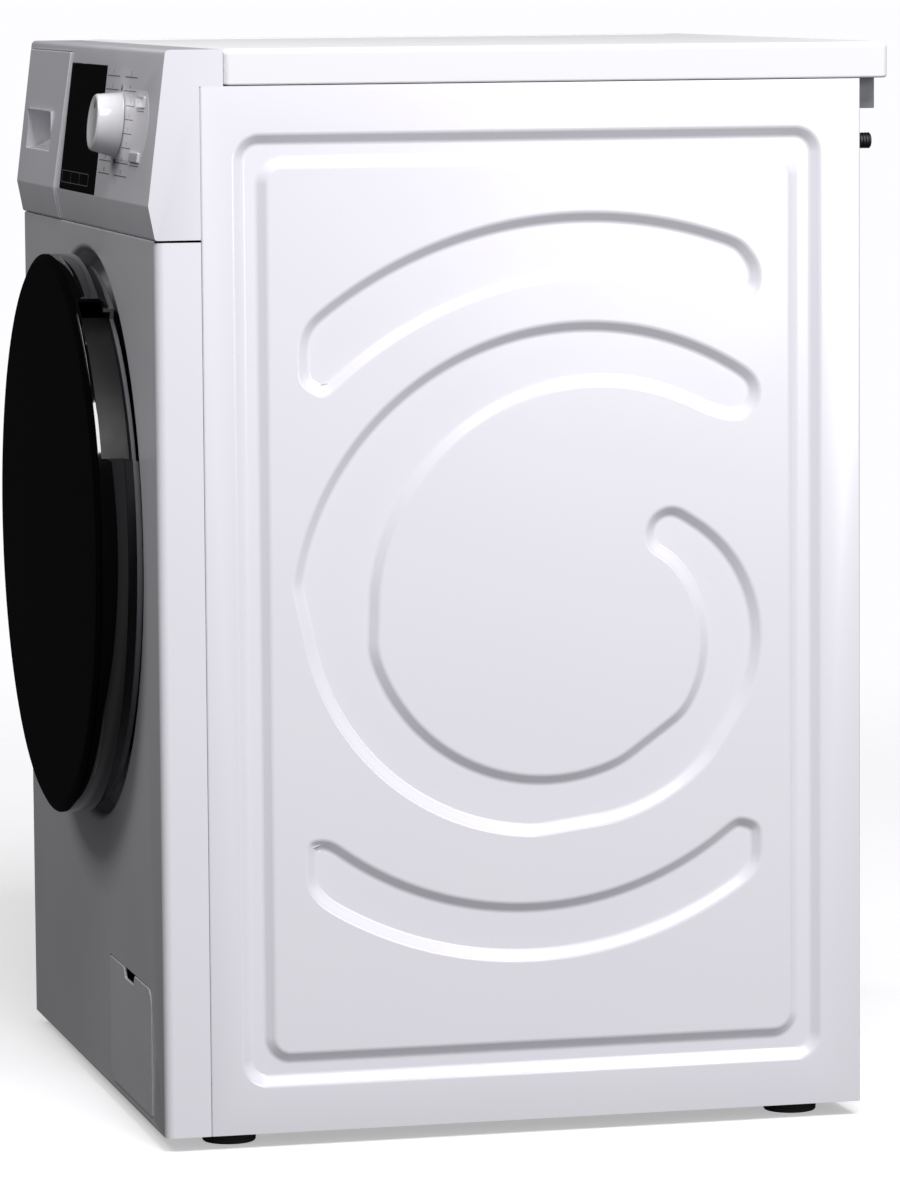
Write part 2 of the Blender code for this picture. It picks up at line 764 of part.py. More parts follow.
def build_rear():
    """The rear sheet, its domed cover, the grey top rail and the cross brace."""
    side = HALF - SHEET - FLANGE - GAP
    top = WORKTOP_BOTTOM - GAP
    panel = block("rear_panel", (-side, deep(BACK - SHEET), GROUND_GAP), (side, deep(BACK), top), "enamel")
    cover_low = (-COVER_WIDTH / 2, COVER_BOTTOM)
    cover_high = (COVER_WIDTH / 2, COVER_BOTTOM + COVER_HEIGHT)
    inset = 12 * MM
    hole_low = (cover_low[0] + inset, cover_low[1] + inset)
    hole_high = (cover_high[0] - inset, cover_high[1] - inset)
    tool = plate("cover_opening", [rectangle(hole_low, hole_high, 30 * MM)], 10 * MM, "XZ",
                 (0, deep(BACK), 0), None)
    cut(panel, tool)
    for name, (x, z, radius) in REAR_FITTINGS.items():
        hole = rod(name + "_hole", radius + SEAM, (x, deep(BACK - 5 * MM), z), (x, deep(BACK + 5 * MM), z),
                   None)
        cut(panel, hole)

    def to_space(point):
        return (point[0], deep(BACK + GAP + COVER_SHEET), point[1])

    bm = bmesh.new()
    rim = add_loop(bm, rectangle(cover_low, cover_high, 40 * MM), to_space)
    shell = add_loop(bm, rectangle(hole_low, hole_high, 30 * MM), to_space)
    outward = Vector((0, 1, 0))
    fill_between(bm, [rim, shell], outward)
    dome = fill_between(bm, [shell], outward)
    bmesh.ops.inset_region(bm, faces=dome, thickness=14 * MM, depth=COVER_DOME, use_boundary=True,
                           use_even_offset=True)
    cover = finish_mesh("rear_cover", bm, "enamel")
    thicken(cover, COVER_SHEET)

    rail_low = (-RAIL_HALF, deep(BACK + GAP), WORKTOP_BOTTOM - GAP - RAIL_HEIGHT)
    rail_high = (RAIL_HALF, deep(BACK + GAP + RAIL_DEPTH), WORKTOP_BOTTOM - GAP)
    rail = block("rear_top_rail", rail_low, rail_high, "grey_plastic")
    wall = 2 * MM
    hollow = block("rail_hollow", (rail_low[0] + wall, rail_low[1] + wall, rail_low[2] - wall),
                   (rail_high[0] - wall, rail_high[1] - wall, rail_high[2] - wall), None)
    cut(rail, hollow)

    brace_side = HALF - SHEET - GAP
    brace_low = (-brace_side, deep(SPRING_Y - 20 * MM), WORKTOP_BOTTOM - GAP - BRACE_HEIGHT)
    brace_high = (brace_side, deep(SPRING_Y + 20 * MM), WORKTOP_BOTTOM - GAP - 3 * MM)
    brace = block("top_brace", brace_low, brace_high, "zinc_steel")
    groove = block("brace_groove", (-HALF, brace_low[1] + 2 * MM, brace_low[2] + 2 * MM),
                   (HALF, brace_high[1] - 2 * MM, brace_high[2] + 2 * MM), None)
    cut(brace, groove)


def build_rear_fittings():
    """The water inlet valve, the drain spigot and the cable gland, as turned pieces."""
    depths = {"inlet_valve": 60 * MM, "cable_gland": 8 * MM, "drain_spigot": 30 * MM}
    finishes = {"inlet_valve": "white_plastic", "cable_gland": "dark_plastic", "drain_spigot": "grey_plastic"}
    for name, (x, z, radius) in REAR_FITTINGS.items():
        head = radius * 0.66
        bore = head * 0.6
        end = BACK + FITTING_REACH
        profile = [(0.0, end - 14 * MM), (bore, end - 14 * MM), (bore, end), (head, end),
                   (head, BACK + 4 * MM), (radius, BACK + 4 * MM), (radius, BACK - depths[name]),
                   (0.0, BACK - depths[name])]
        turned(name, profile, finishes[name], (x, FRONT_Y, z), SMALL_ROUND)


def build_worktop():
    """The board over the machine, with rounded edges."""
    top = block("worktop", (-HALF, deep(WORKTOP_SETBACK), WORKTOP_BOTTOM),
                (HALF, deep(BACK + WORKTOP_OVERHANG), HEIGHT), "enamel")
    round_edges(top, WORKTOP_EDGE_RADIUS)


# ---------------------------------------------------------------- console
def console_outline(inset):
    """The console's side view, drawn in by an inset, open towards the back past the worktop."""
    back = WORKTOP_SETBACK - GAP if inset == 0 else WORKTOP_SETBACK + 5 * MM
    step = PANEL_WRAP - GAP if inset == 0 else WORKTOP_SETBACK + 5 * MM
    return [
        (inset, CONSOLE_BOTTOM + inset),
        (-CONSOLE_FOLD_REACH + inset, FOLD_HEIGHT + inset * 0.1),
        (CONSOLE_TOP_SETBACK + inset, CONSOLE_TOP - inset),
        (back, CONSOLE_TOP - inset),
        (back, WORKTOP_BOTTOM - GAP),
        (step, WORKTOP_BOTTOM - GAP),
        (step, CONSOLE_BOTTOM + inset),
    ]


def console_side(points, low, high, name, finish):
    """A solid with the console's side view, between two places along X."""
    outline = [(deep(y), z) for y, z in points]
    return plate(name, [outline], high - low, "YZ", ((low + high) / 2, 0, 0), finish)


def seam_x(z):
    """Where the drawer's slanted right seam is at a height."""
    share = (z - CONSOLE_BOTTOM) / CONSOLE_HEIGHT
    return DRAWER_SEAM_BOTTOM + share * (DRAWER_SEAM_TOP - DRAWER_SEAM_BOTTOM)


def drawer_outline(margin):
    """The drawer front seen from the front, grown by a margin."""
    left = -HALF + DRAWER_LEFT_MARGIN - margin
    top = CONSOLE_TOP - DRAWER_TOP_MARGIN + margin
    bottom = CONSOLE_BOTTOM - 20 * MM if margin > 0 else CONSOLE_BOTTOM
    return [(left, bottom), (seam_x(bottom) + margin, bottom), (seam_x(top) + margin, top), (left, top)]


def build_console():
    """The fascia with openings for the drawer, the display, the knob and the buttons."""
    console = console_side(console_outline(0), -HALF, HALF, "console", "white_plastic")
    hollow = console_side(console_outline(CONSOLE_WALL), -HALF + CONSOLE_WALL, HALF - CONSOLE_WALL,
                          "console_hollow", None)
    cut(console, hollow)
    opening = plate("drawer_opening", [drawer_outline(SEAM)], 30 * MM, "XZ", (0, deep(0), 0), None)
    cut(console, opening)
    marker = empty("console_face", (0, deep(-CONSOLE_FOLD_REACH), FOLD_HEIGHT), math.pi / 2 - CONSOLE_TILT)
    glass_low = (DISPLAY_LEFT, face_up(DISPLAY_BOTTOM_DROP))
    glass_high = (DISPLAY_RIGHT, face_up(DISPLAY_TOP_DROP))
    window = block("display_window", (*glass_low, -DISPLAY_GLASS), (*glass_high, 0.2 * MM), "black_gloss")
    glass_hole = block("display_opening", (glass_low[0] - GAP, glass_low[1] - GAP, -10 * MM),
                       (glass_high[0] + GAP, glass_high[1] + GAP, 10 * MM), None)
    board = block("control_board", (DISPLAY_LEFT, glass_low[1] + 5 * MM, -BOARD_DEPTH - 1.6 * MM),
                  (KNOB_X + 70 * MM, glass_high[1] - 3 * MM, -BOARD_DEPTH), "circuit_board")
    mount([window, glass_hole, board], marker)
    cut(console, glass_hole)
    build_knob(console, board, marker)
    build_buttons(console, marker)


def face_up(drop):
    """Distance up the sloping face, for a drop below the worktop's height."""
    return (HEIGHT - drop - FOLD_HEIGHT) / math.cos(CONSOLE_TILT)


def build_knob(console, board, marker):
    """The programme knob and its shaft, turning about the console face's normal."""
    base = 0.6 * MM
    edge = 2 * MM
    end = -BOARD_DEPTH + 2 * MM
    profile = [(0.0, KNOB_HEIGHT), (KNOB_FACE_RADIUS - edge, KNOB_HEIGHT),
               (KNOB_FACE_RADIUS, KNOB_HEIGHT - edge), (KNOB_BASE_RADIUS, base),
               (KNOB_SHAFT_RADIUS, base), (KNOB_SHAFT_RADIUS, end), (0.0, end)]
    knob = turned("program_knob", profile, "white_plastic", (KNOB_X, face_up(KNOB_DROP), 0), MID_ROUND, "Z")
    hole = rod("knob_hole", KNOB_SHAFT_RADIUS + SEAM, (0, 0, -8 * MM), (0, 0, 8 * MM), None,
               place=(KNOB_X, face_up(KNOB_DROP), 0))
    mount([knob, hole], marker)
    cut(console, hole)


def build_buttons(console, marker):
    """Two push buttons that travel into the console."""
    for name, (x, drop, width, height) in BUTTONS.items():
        place = (x, face_up(drop), 0)
        half = (width / 2, height / 2)
        cap = block(name, (-half[0], -half[1], -6 * MM), (half[0], half[1], 1.8 * MM), "white_plastic", place)
        gap = BUTTON_CLEARANCE
        hole = block(name + "_hole", (-half[0] - gap, -half[1] - gap, -10 * MM),
                     (half[0] + gap, half[1] + gap, 10 * MM), None, place)
        mount([cap, hole], marker)
        cut(console, hole)


# ---------------------------------------------------------------- detergent drawer
def tray_box():
    """The tray's outer box: low and high corners."""
    left = -HALF + DRAWER_LEFT_MARGIN + 8 * MM
    right = DRAWER_SEAM_BOTTOM - 8 * MM
    top = HEIGHT - TRAY_TOP_MARGIN
    front = HANDLE_POCKET + HANDLE_WALL + 1.5 * MM
    return (left, deep(front), top - TRAY_HEIGHT), (right, deep(front + TRAY_DEPTH), top)


def build_drawer():
    """The drawer's front with its finger scoop, and the tray with three compartments."""
    face_points = [(y - DRAWER_PROUD, z) for y, z in console_outline(0)]
    outer = console_side(face_points, -HALF, 0, "drawer_front", "white_plastic")
    behind = console_side([(y + DRAWER_FRONT_THICKNESS, z) for y, z in console_outline(0)[:3]]
                          + [(90 * MM, HEIGHT + 40 * MM), (90 * MM, CONSOLE_BOTTOM - 40 * MM),
                             (DRAWER_FRONT_THICKNESS, CONSOLE_BOTTOM - 40 * MM)],
                          -HALF - 10 * MM, 10 * MM, "drawer_behind", None)
    cut(outer, behind)
    shape = plate("drawer_shape", [drawer_outline(0)], 80 * MM, "XZ", (0, deep(0), 0), None)
    combine(outer, shape, "INTERSECT")
    wall = HANDLE_WALL
    shell = console_side(pocket_outline(4 * MM, HANDLE_POCKET + wall, wall, 4 * MM), HANDLE_LEFT - wall,
                         HANDLE_RIGHT + wall, "handle_shell", None)
    join(outer, shell)
    pocket = console_side(pocket_outline(-1 * MM, HANDLE_POCKET, 0, -20 * MM), HANDLE_LEFT, HANDLE_RIGHT,
                          "handle_pocket", None)
    cut(outer, pocket)
    low, high = tray_box()
    tray = block("drawer_tray", low, high, "white_plastic")
    width = high[0] - low[0]
    rooms = 3
    room = (width - TRAY_WALL * (rooms + 1)) / rooms
    for index in range(rooms):
        left = low[0] + TRAY_WALL + index * (room + TRAY_WALL)
        hollow = block("tray_room_" + str(index + 1), (left, low[1] + TRAY_WALL, low[2] + TRAY_WALL),
                       (left + room, high[1] - TRAY_WALL, high[2] + TRAY_WALL), None)
        cut(tray, hollow)
    marker = empty("drawer_slide_axis", (0, low[1], low[2]))
    hang([outer, tray], marker)
    build_dispenser(low, high)


def pocket_outline(start, end, wall, front):
    """Side view of the finger pocket: a flat ceiling, and a floor that curves up to the back."""
    top = HEIGHT - HANDLE_DROP + wall
    tall = HANDLE_HEIGHT + 2 * wall
    curve = arc((0, 0), 1, -90, 0, 6)
    points = [(start + (end - start) * across, top + tall * up) for across, up in curve]
    if front < start:
        return [(front, top), (front, top - tall)] + points
    return [(start, top)] + points


def build_dispenser(low, high):
    """The housing that the tray slides in, open at the front."""
    room = 2 * MM
    wall = 2.5 * MM
    outer_low = (low[0] - room - wall, low[1] + 8 * MM, low[2] - room - wall)
    outer_high = (high[0] + room + wall, high[1] + room + wall, high[2] + 3 * room + wall)
    housing = block("dispenser_housing", outer_low, outer_high, "white_plastic")
    hollow = block("dispenser_hollow", (low[0] - room, outer_low[1] - wall, low[2] - room),
                   (high[0] + room, high[1] + room, high[2] + 3 * room), None)
    cut(housing, hollow)


# ---------------------------------------------------------------- door
def bowl_profile():
    """The glass bowl's section, as (radius, depth) points."""
    neck = DOOR_RING_BORE - SEAM
    outer = [(BOWL_BACK_RADIUS, BOWL_DEPTH), (BOWL_BACK_RADIUS + 24 * MM, BOWL_DEPTH - 12 * MM),
             (BOWL_BACK_RADIUS + 34 * MM, BOWL_DEPTH - 30 * MM), (neck - 7.5 * MM, 20 * MM), (neck, -GAP)]
    front = -GAP - GLASS_WALL
    flange = [(neck + 12 * MM, -GAP), (neck + 12 * MM, front), (neck - GLASS_WALL, front)]
    deepest = BOWL_DEPTH - GLASS_WALL - 2 * MM
    inner = [(radius - GLASS_WALL, min(depth, deepest)) for radius, depth in outer[3:0:-1]]
    back = [(BOWL_BACK_RADIUS - 2 * MM, BOWL_DEPTH - GLASS_WALL), (0.0, BOWL_DEPTH - GLASS_WALL)]
    return [(0.0, BOWL_DEPTH + 2 * MM)] + outer + flange + inner + back


def build_door():
    """The round door: rim, front glass, back ring, bowl and grip, all on the hinge axis."""
    centre = (0, FRONT_Y, AXIS_Z)
    face = -DOOR_REACH + DOOR_GLASS_THICKNESS + GAP
    wall = DOOR_WALL
    rim_profile = [(DOOR_RADIUS, face), (DOOR_RADIUS, -DOOR_STEP - 2 * MM),
                   (DOOR_RADIUS - DOOR_STEP + 1 * MM, -2 * MM), (DOOR_RADIUS - DOOR_STEP - 1.5 * MM, -2 * MM),
                   (DOOR_RADIUS - wall, -DOOR_STEP - 3 * MM), (DOOR_RADIUS - wall, face + wall),
                   (DOOR_RING_BORE - 6 * MM, face + wall), (DOOR_RING_BORE - 6 * MM, face)]
    rim = turned("door_rim", rim_profile, "black_gloss", centre, DOOR_ROUND)
    glass_back = face - GAP
    glass_profile = [(0.0, glass_back), (DOOR_RADIUS, glass_back), (DOOR_RADIUS, glass_back - 0.4 * MM),
                     (DOOR_RADIUS - DOOR_CHAMFER, -DOOR_REACH), (0.0, -DOOR_REACH)]
    glass = turned("door_glass", glass_profile, "black_gloss", centre, DOOR_ROUND)
    outer = DOOR_RADIUS - DOOR_STEP
    ring_profile = [(outer - 2 * MM, 3 * MM), (outer - 2 * MM, -6 * MM), (outer - 5 * MM, -6 * MM),
                    (outer - 5 * MM, 0), (DOOR_RING_BORE + 15 * MM, 0), (DOOR_RING_BORE + 15 * MM, -9 * MM),
                    (DOOR_RING_BORE + 12.3 * MM, -9 * MM), (DOOR_RING_BORE + 12.3 * MM, 0),
                    (DOOR_RING_BORE, 0), (DOOR_RING_BORE, 3 * MM)]
    ring = turned("door_inner_ring", ring_profile, "grey_plastic", centre, DOOR_ROUND)
    bowl = turned("door_bowl", bowl_profile(), "glass", centre, DOOR_ROUND)

    grip_outer = DOOR_RADIUS - GRIP_DEPTH
    span = (GRIP_START, GRIP_END)
    notch_points = arc((0, AXIS_Z), grip_outer, *span, 8)
    notch_points += arc((0, AXIS_Z), DOOR_RADIUS + 20 * MM, span[1], span[0], 8)
    notch = plate("grip_notch", [notch_points], 40 * MM, "XZ", (0, deep(face + wall + 20 * MM), 0), None)
    cut(rim, notch)
    cut(ring, notch)
    grip_in = 3 * MM
    trim = 1
    grip_points = arc((0, AXIS_Z), grip_outer - GAP - grip_in, span[0] - trim, span[1] + trim, 8)
    grip_points += arc((0, AXIS_Z), grip_outer - GAP, span[1] + trim, span[0] - trim, 8)
    grip_low = face + wall + GAP
    grip_high = -2 * MM
    grip = plate("door_grip", [grip_points], grip_high - grip_low, "XZ",
                 (0, deep((grip_low + grip_high) / 2), 0), "dark_plastic")

    room = HINGE_HALF_LENGTH + 4 * MM
    hinge_space = block("hinge_space", (-DOOR_RADIUS - 20 * MM, deep(face + wall + 0.2 * MM), HINGE_Z - room),
                        (HINGE_X + 14 * MM, deep(30 * MM), HINGE_Z + room), None)
    cut(rim, hinge_space)
    cut(ring, hinge_space)
    hook_slot = block("hook_slot", (HOOK_X - 9 * MM, deep(-5 * MM), AXIS_Z - 8.5 * MM),
                      (HOOK_X + 5 * MM, deep(8 * MM), AXIS_Z + 8.5 * MM), None)
    cut(ring, hook_slot)
    leaf = build_hinge()
    marker = empty("door_hinge_axis", (HINGE_X, deep(-HINGE_FORWARD), HINGE_Z))
    hang([rim, glass, ring, bowl, grip, leaf], marker)
    build_hook(marker)


def build_hinge():
    """The hinge: a bracket with two ears on the cabinet, its pin, and the door's leaf."""
    reach = HINGE_KNUCKLE_RADIUS
    pin_spot = (HINGE_X, deep(-HINGE_FORWARD))
    plate_back = RECESS_DEPTH - GAP
    front = plate_back - HINGE_PLATE
    ear_points = arc(pin_spot, reach, 180, 360, 8) + [
        (HINGE_X + reach, deep(front)), (HINGE_X + 26 * MM, deep(front)),
        (HINGE_X + 26 * MM, deep(plate_back)),
        (HINGE_X - reach, deep(plate_back)),
    ]
    length = 2 * HINGE_HALF_LENGTH
    bracket = plate("hinge_bracket", [ear_points], length, "XY", (0, 0, HINGE_Z), "zinc_steel")
    inner_half = HINGE_HALF_LENGTH - HINGE_EAR
    between = block("hinge_between", (HINGE_X - 20 * MM, deep(-60 * MM), HINGE_Z - inner_half),
                    (HINGE_X + 30 * MM, deep(front), HINGE_Z + inner_half), None)
    cut(bracket, between)
    bore = rod("hinge_bore", HINGE_PIN_RADIUS + GAP + 0.1 * MM, (*pin_spot, HINGE_Z - length),
               (*pin_spot, HINGE_Z + length), None)
    cut(bracket, bore)
    head = HINGE_HALF_LENGTH + GAP
    pin_profile = [(0.0, head + 2 * MM), (HINGE_PIN_RADIUS + 1.5 * MM, head + 2 * MM),
                   (HINGE_PIN_RADIUS + 1.5 * MM, head), (HINGE_PIN_RADIUS, head),
                   (HINGE_PIN_RADIUS, -head), (0.0, -head)]
    turned("hinge_pin", pin_profile, "zinc_steel", (*pin_spot, HINGE_Z), SMALL_ROUND, "Z")
    leaf_half = inner_half - 0.8 * MM
    thickness = 3 * MM
    knuckle = arc(pin_spot, reach, 15, 345, 14)
    arm_end = HINGE_X + 36 * MM
    arm = deep(-HINGE_FORWARD)
    leaf_points = knuckle + [(arm_end, arm - thickness / 2), (arm_end, arm + thickness / 2)]
    leaf = plate("hinge_leaf", [leaf_points], 2 * leaf_half, "XY", (0, 0, HINGE_Z), "zinc_steel")
    cut(leaf, bore)
    return leaf


def build_hook(door_marker):
    """The sprung catch on the door, and the lock that it enters."""
    pivot = (HOOK_X, deep(-8 * MM))
    x = HOOK_X
    points = [(x - 2.5 * MM, deep(-12 * MM)), (x + 2.5 * MM, deep(-12 * MM)), (x + 2.5 * MM, deep(36 * MM)),
              (x - 7 * MM, deep(36 * MM)), (x - 7 * MM, deep(32 * MM)), (x - 2.5 * MM, deep(27 * MM))]
    hook = plate("door_hook", [points], 12 * MM, "XY", (0, 0, AXIS_Z), "zinc_steel")
    marker = empty("hook_axis", (*pivot, AXIS_Z))
    hang([hook], marker)
    marker.parent = door_marker
    marker.location = Vector(marker.location) - Vector(door_marker.location)
    lock = block("door_lock", (x - 13.5 * MM, deep(RECESS_DEPTH + 1.5 * MM), AXIS_Z - 30 * MM),
                 (x + 20 * MM, deep(52 * MM), AXIS_Z + 30 * MM), "dark_plastic")
    mouth = block("lock_mouth", (x - 11.5 * MM, deep(0), AXIS_Z - 10 * MM),
                  (x + 11 * MM, deep(45 * MM), AXIS_Z + 10 * MM), None)
    cut(lock, mouth)


def build_gasket():
    """The rubber bellows between the front panel and the tub."""
    lip = OPENING_RADIUS - 0.8 * MM
    neck = TUB_MOUTH_RADIUS + TUB_WALL
    back = RECESS_DEPTH
    profile = [(lip, back + 1.5 * MM), (lip, back + 10.5 * MM), (lip + 8.5 * MM, back + 16 * MM),
               (lip + 8.5 * MM, TUB_FRONT - 24 * MM), (neck + 3.5 * MM, TUB_FRONT - 20.5 * MM),
               (neck + 3.5 * MM, TUB_FRONT - 4 * MM), (neck + GAP + 0.5 * MM, TUB_FRONT - 4 * MM),
               (neck + GAP + 0.5 * MM, TUB_FRONT - 23 * MM), (lip + 5.5 * MM, TUB_FRONT - 25.5 * MM),
               (lip + 5.5 * MM, back + 18 * MM), (lip - 4 * MM, back + 13 * MM), (GASKET_LIP, back + 13 * MM),
               (GASKET_LIP, back + 10 * MM), (lip - 3 * MM, back + 10 * MM), (lip - 3 * MM, back + 1.5 * MM)]
    turned("door_gasket", profile, "rubber", (0, FRONT_Y, AXIS_Z))


# ---------------------------------------------------------------- flap and pump
def flap_corners(margin, top_points=()):
    """The flap's corners, two large and two small, grown by a margin; top_points cut into its top edge."""
    left = FLAP_LEFT - margin
    right = FLAP_RIGHT + margin
    low = FLAP_BOTTOM - margin
    high = FLAP_TOP + margin
    return [(left, low, FLAP_RADIUS), (right, low, FLAP_SMALL_RADIUS), (right, high, FLAP_RADIUS),
            *top_points, (left, high, FLAP_SMALL_RADIUS)]


def build_flap():
    """The service flap on its bottom edge, and the pump with its filter behind it."""
    notch_middle = (FLAP_LEFT + FLAP_RIGHT) / 2 - 4 * MM
    half = FLAP_NOTCH_WIDTH / 2
    lead = 4 * MM
    notch = [
        (notch_middle + half, FLAP_TOP, 0), (notch_middle + half - lead, FLAP_TOP - FLAP_NOTCH_DEPTH, 0),
        (notch_middle - half + lead, FLAP_TOP - FLAP_NOTCH_DEPTH, 0), (notch_middle - half, FLAP_TOP, 0),
    ]
    points = rounded_outline(flap_corners(0, notch))
    middle = -FLAP_PROUD + FLAP_THICKNESS / 2
    flap = plate("service_flap", [points], FLAP_THICKNESS, "XZ", (0, deep(middle), 0), "enamel")
    marker = empty("flap_hinge_axis", (0, deep(middle), FLAP_BOTTOM + FLAP_THICKNESS / 2))
    hang([flap], marker)
    pump_x = (FLAP_LEFT + FLAP_RIGHT) / 2
    place = (pump_x, FRONT_Y, PUMP_HEIGHT)
    front = 22 * MM
    bore = FILTER_RADIUS + 1 * MM
    end = front + PUMP_LENGTH
    pump_profile = [(PUMP_RADIUS, front), (PUMP_RADIUS, front + 62 * MM),
                    (PUMP_RADIUS - 8 * MM, front + 66 * MM),
                    (PUMP_RADIUS - 8 * MM, end), (0.0, end), (0.0, front + 60 * MM),
                    (bore, front + 60 * MM), (bore, front)]
    turned("drain_pump", pump_profile, "dark_plastic", place, MID_ROUND)
    cap = front - GAP
    filter_profile = [(0.0, cap - 8 * MM), (FILTER_CAP_RADIUS, cap - 8 * MM), (FILTER_CAP_RADIUS, cap),
                      (FILTER_RADIUS, cap), (FILTER_RADIUS, front + 50 * MM), (0.0, front + 50 * MM)]
    plug = turned("pump_filter", filter_profile, "grey_plastic", place, MID_ROUND)
    grip = block("filter_grip", (-4 * MM, 6 * MM, -FILTER_CAP_RADIUS * 0.7),
                 (4 * MM, cap - 6 * MM, FILTER_CAP_RADIUS * 0.7), None, place)
    join(plug, grip)


# ---------------------------------------------------------------- tub and drum
def build_tub():
    """The two tub halves, their weights, the heater, the dampers' rods and the springs."""
    place = (0, FRONT_Y, AXIS_Z)
    radius = TUB_RADIUS
    inner = radius - TUB_WALL
    flange = radius + TUB_FLANGE
    split = TUB_SPLIT - GAP / 2
    mouth = TUB_MOUTH_RADIUS
    neck_front = TUB_FRONT - TUB_NECK
    front_profile = [(flange, split), (flange, split - 6 * MM), (radius, split - 6 * MM),
                     (radius, TUB_FRONT + 8 * MM), (radius - 8 * MM, TUB_FRONT),
                     (mouth + TUB_WALL, TUB_FRONT), (mouth + TUB_WALL, neck_front), (mouth, neck_front),
                     (mouth, TUB_FRONT + TUB_WALL), (inner - 8 * MM, TUB_FRONT + TUB_WALL),
                     (inner, TUB_FRONT + 8 * MM + TUB_WALL), (inner, split)]
    front = turned("tub_front", front_profile, "tub_plastic", place)
    split = TUB_SPLIT + GAP / 2
    bore = BEARING_RADIUS + GAP
    hub_front = TUB_BACK - HUB_LENGTH + 14 * MM
    hub_back = TUB_BACK + 12 * MM
    back_profile = [(flange, split), (flange, split + 6 * MM), (radius, split + 6 * MM),
                    (radius, TUB_BACK - 8 * MM), (radius - 8 * MM, TUB_BACK),
                    (HUB_RADIUS + 15 * MM, TUB_BACK),
                    (HUB_RADIUS, hub_back), (bore, hub_back), (bore, hub_front), (HUB_RADIUS, hub_front),
                    (HUB_RADIUS, TUB_BACK - TUB_WALL), (inner - 8 * MM, TUB_BACK - TUB_WALL),
                    (inner, TUB_BACK - 8 * MM - TUB_WALL), (inner, split)]
    back = turned("tub_rear", back_profile, "tub_plastic", place)
    for side in (-1, 1):
        lug = block("spring_lug_" + str(side + 2),
                    (side * SPRING_X - 6 * MM, deep(SPRING_Y - 5 * MM), AXIS_Z + 100 * MM),
                    (side * SPRING_X + 6 * MM, deep(SPRING_Y + 5 * MM), SPRING_LUG_HEIGHT), None)
        core = rod("lug_core_" + str(side + 2), inner + 1 * MM, (0, deep(SPRING_Y - 20 * MM), AXIS_Z),
                   (0, deep(SPRING_Y + 20 * MM), AXIS_Z), None, BIG_ROUND)
        cut(lug, core)
        join(back, lug)
    ring = block_ring("bearing", SHAFT_RADIUS + GAP, BEARING_RADIUS, hub_front + 2 * MM, BEARING_LENGTH,
                      place)
    build_weights(place)
    heater = build_heater(back)
    rods = build_dampers()
    marker = empty("tub_bounce_axis", place)
    hang([front, back, ring, heater] + rods, marker)


def block_ring(name, bore, radius, start, length, place):
    """A plain ring about the drum's axis."""
    profile = [(radius, start + length), (radius, start), (bore, start), (bore, start + length)]
    return turned(name, profile, "zinc_steel", place, MID_ROUND)


def build_weights(place):
    """The concrete weights in front of the tub and on top of it."""
    outline = arc((0, AXIS_Z), WEIGHT_OUTER, WEIGHT_START, WEIGHT_END, 12)
    outline += arc((0, AXIS_Z), WEIGHT_INNER, WEIGHT_END, WEIGHT_START, 12)
    middle = TUB_FRONT - GAP - WEIGHT_THICKNESS / 2
    plate("counterweight_front", [outline], WEIGHT_THICKNESS, "XZ", (0, deep(middle), 0), "concrete")
    width, depth, height = TOP_WEIGHT
    low_z = AXIS_Z + TUB_RADIUS + GAP
    top = block("counterweight_top", (-width / 2, deep(TOP_WEIGHT_Y - depth / 2), low_z),
                (width / 2, deep(TOP_WEIGHT_Y + depth / 2), low_z + height), "concrete")
    round_edges(top, 5 * MM, 1)


def build_heater(tub_back):
    """The heating rod in the gap under the drum, through two holes in the tub's back."""
    radial = (TUB_RADIUS - TUB_WALL + DRUM_RADIUS) / 2
    low = AXIS_Z - radial
    half = HEATER_HALF_WIDTH
    front = TUB_FRONT + 40 * MM
    back = TUB_BACK + 8 * MM
    turn = [(x, deep(front) + y, low) for x, y in arc((0, half), half, 180, 360, 6)]
    route = [(-half, deep(back), low)] + turn + [(half, deep(back), low)]
    heater = wire("heater", route, HEATER_ROD_RADIUS, "zinc_steel")
    for side in (-1, 1):
        hole = rod("heater_hole_" + str(side + 2), HEATER_ROD_RADIUS + SEAM,
                   (side * half, deep(TUB_BACK - 20 * MM), low),
                   (side * half, deep(TUB_BACK + 20 * MM), low), None)
        cut(tub_back, hole)
    return heater


def build_dampers():
    """Two dampers: a cylinder on the base and a rod on the tub."""
    rods = []
    floor = GROUND_GAP + SHEET + BASE_SHEET + GAP
    top = 150 * MM
    bore = DAMPER_ROD_RADIUS + DAMPER_BORE_CLEARANCE
    reach = math.sqrt(TUB_RADIUS ** 2 - (DAMPER_X - DAMPER_ROD_RADIUS) ** 2)
    rod_top = AXIS_Z - reach - 2 * MM
    for name, side in (("left", -1), ("right", 1)):
        place = (side * DAMPER_X, deep(DAMPER_Y), 0)
        profile = [(0.0, floor + 8 * MM), (bore, floor + 8 * MM), (bore, top), (DAMPER_RADIUS, top),
                   (DAMPER_RADIUS, floor), (0.0, floor)]
        turned("damper_cylinder_" + name, profile, "grey_plastic", place, SMALL_ROUND, "Z")
        rods.append(rod("damper_rod_" + name, DAMPER_ROD_RADIUS, (0, 0, 45 * MM), (0, 0, rod_top),
                        "zinc_steel", SMALL_ROUND, place))
    return rods


def build_springs():
    """The two springs that the tub hangs from."""
    bottom = SPRING_LUG_HEIGHT + SPRING_WIRE_RADIUS + GAP
    top = WORKTOP_BOTTOM - GAP - BRACE_HEIGHT - SPRING_WIRE_RADIUS - GAP
    per_turn = 7
    count = SPRING_TURNS * per_turn
    for name, side in (("left", -1), ("right", 1)):
        route = []
        for index in range(count + 1):
            angle = 2 * math.pi * index / per_turn
            height = bottom + (top - bottom) * index / count
            route.append((SPRING_RADIUS * math.cos(angle), SPRING_RADIUS * math.sin(angle), height))
        wire("suspension_spring_" + name, route, SPRING_WIRE_RADIUS, "zinc_steel",
             place=(side * SPRING_X, deep(SPRING_Y), 0))


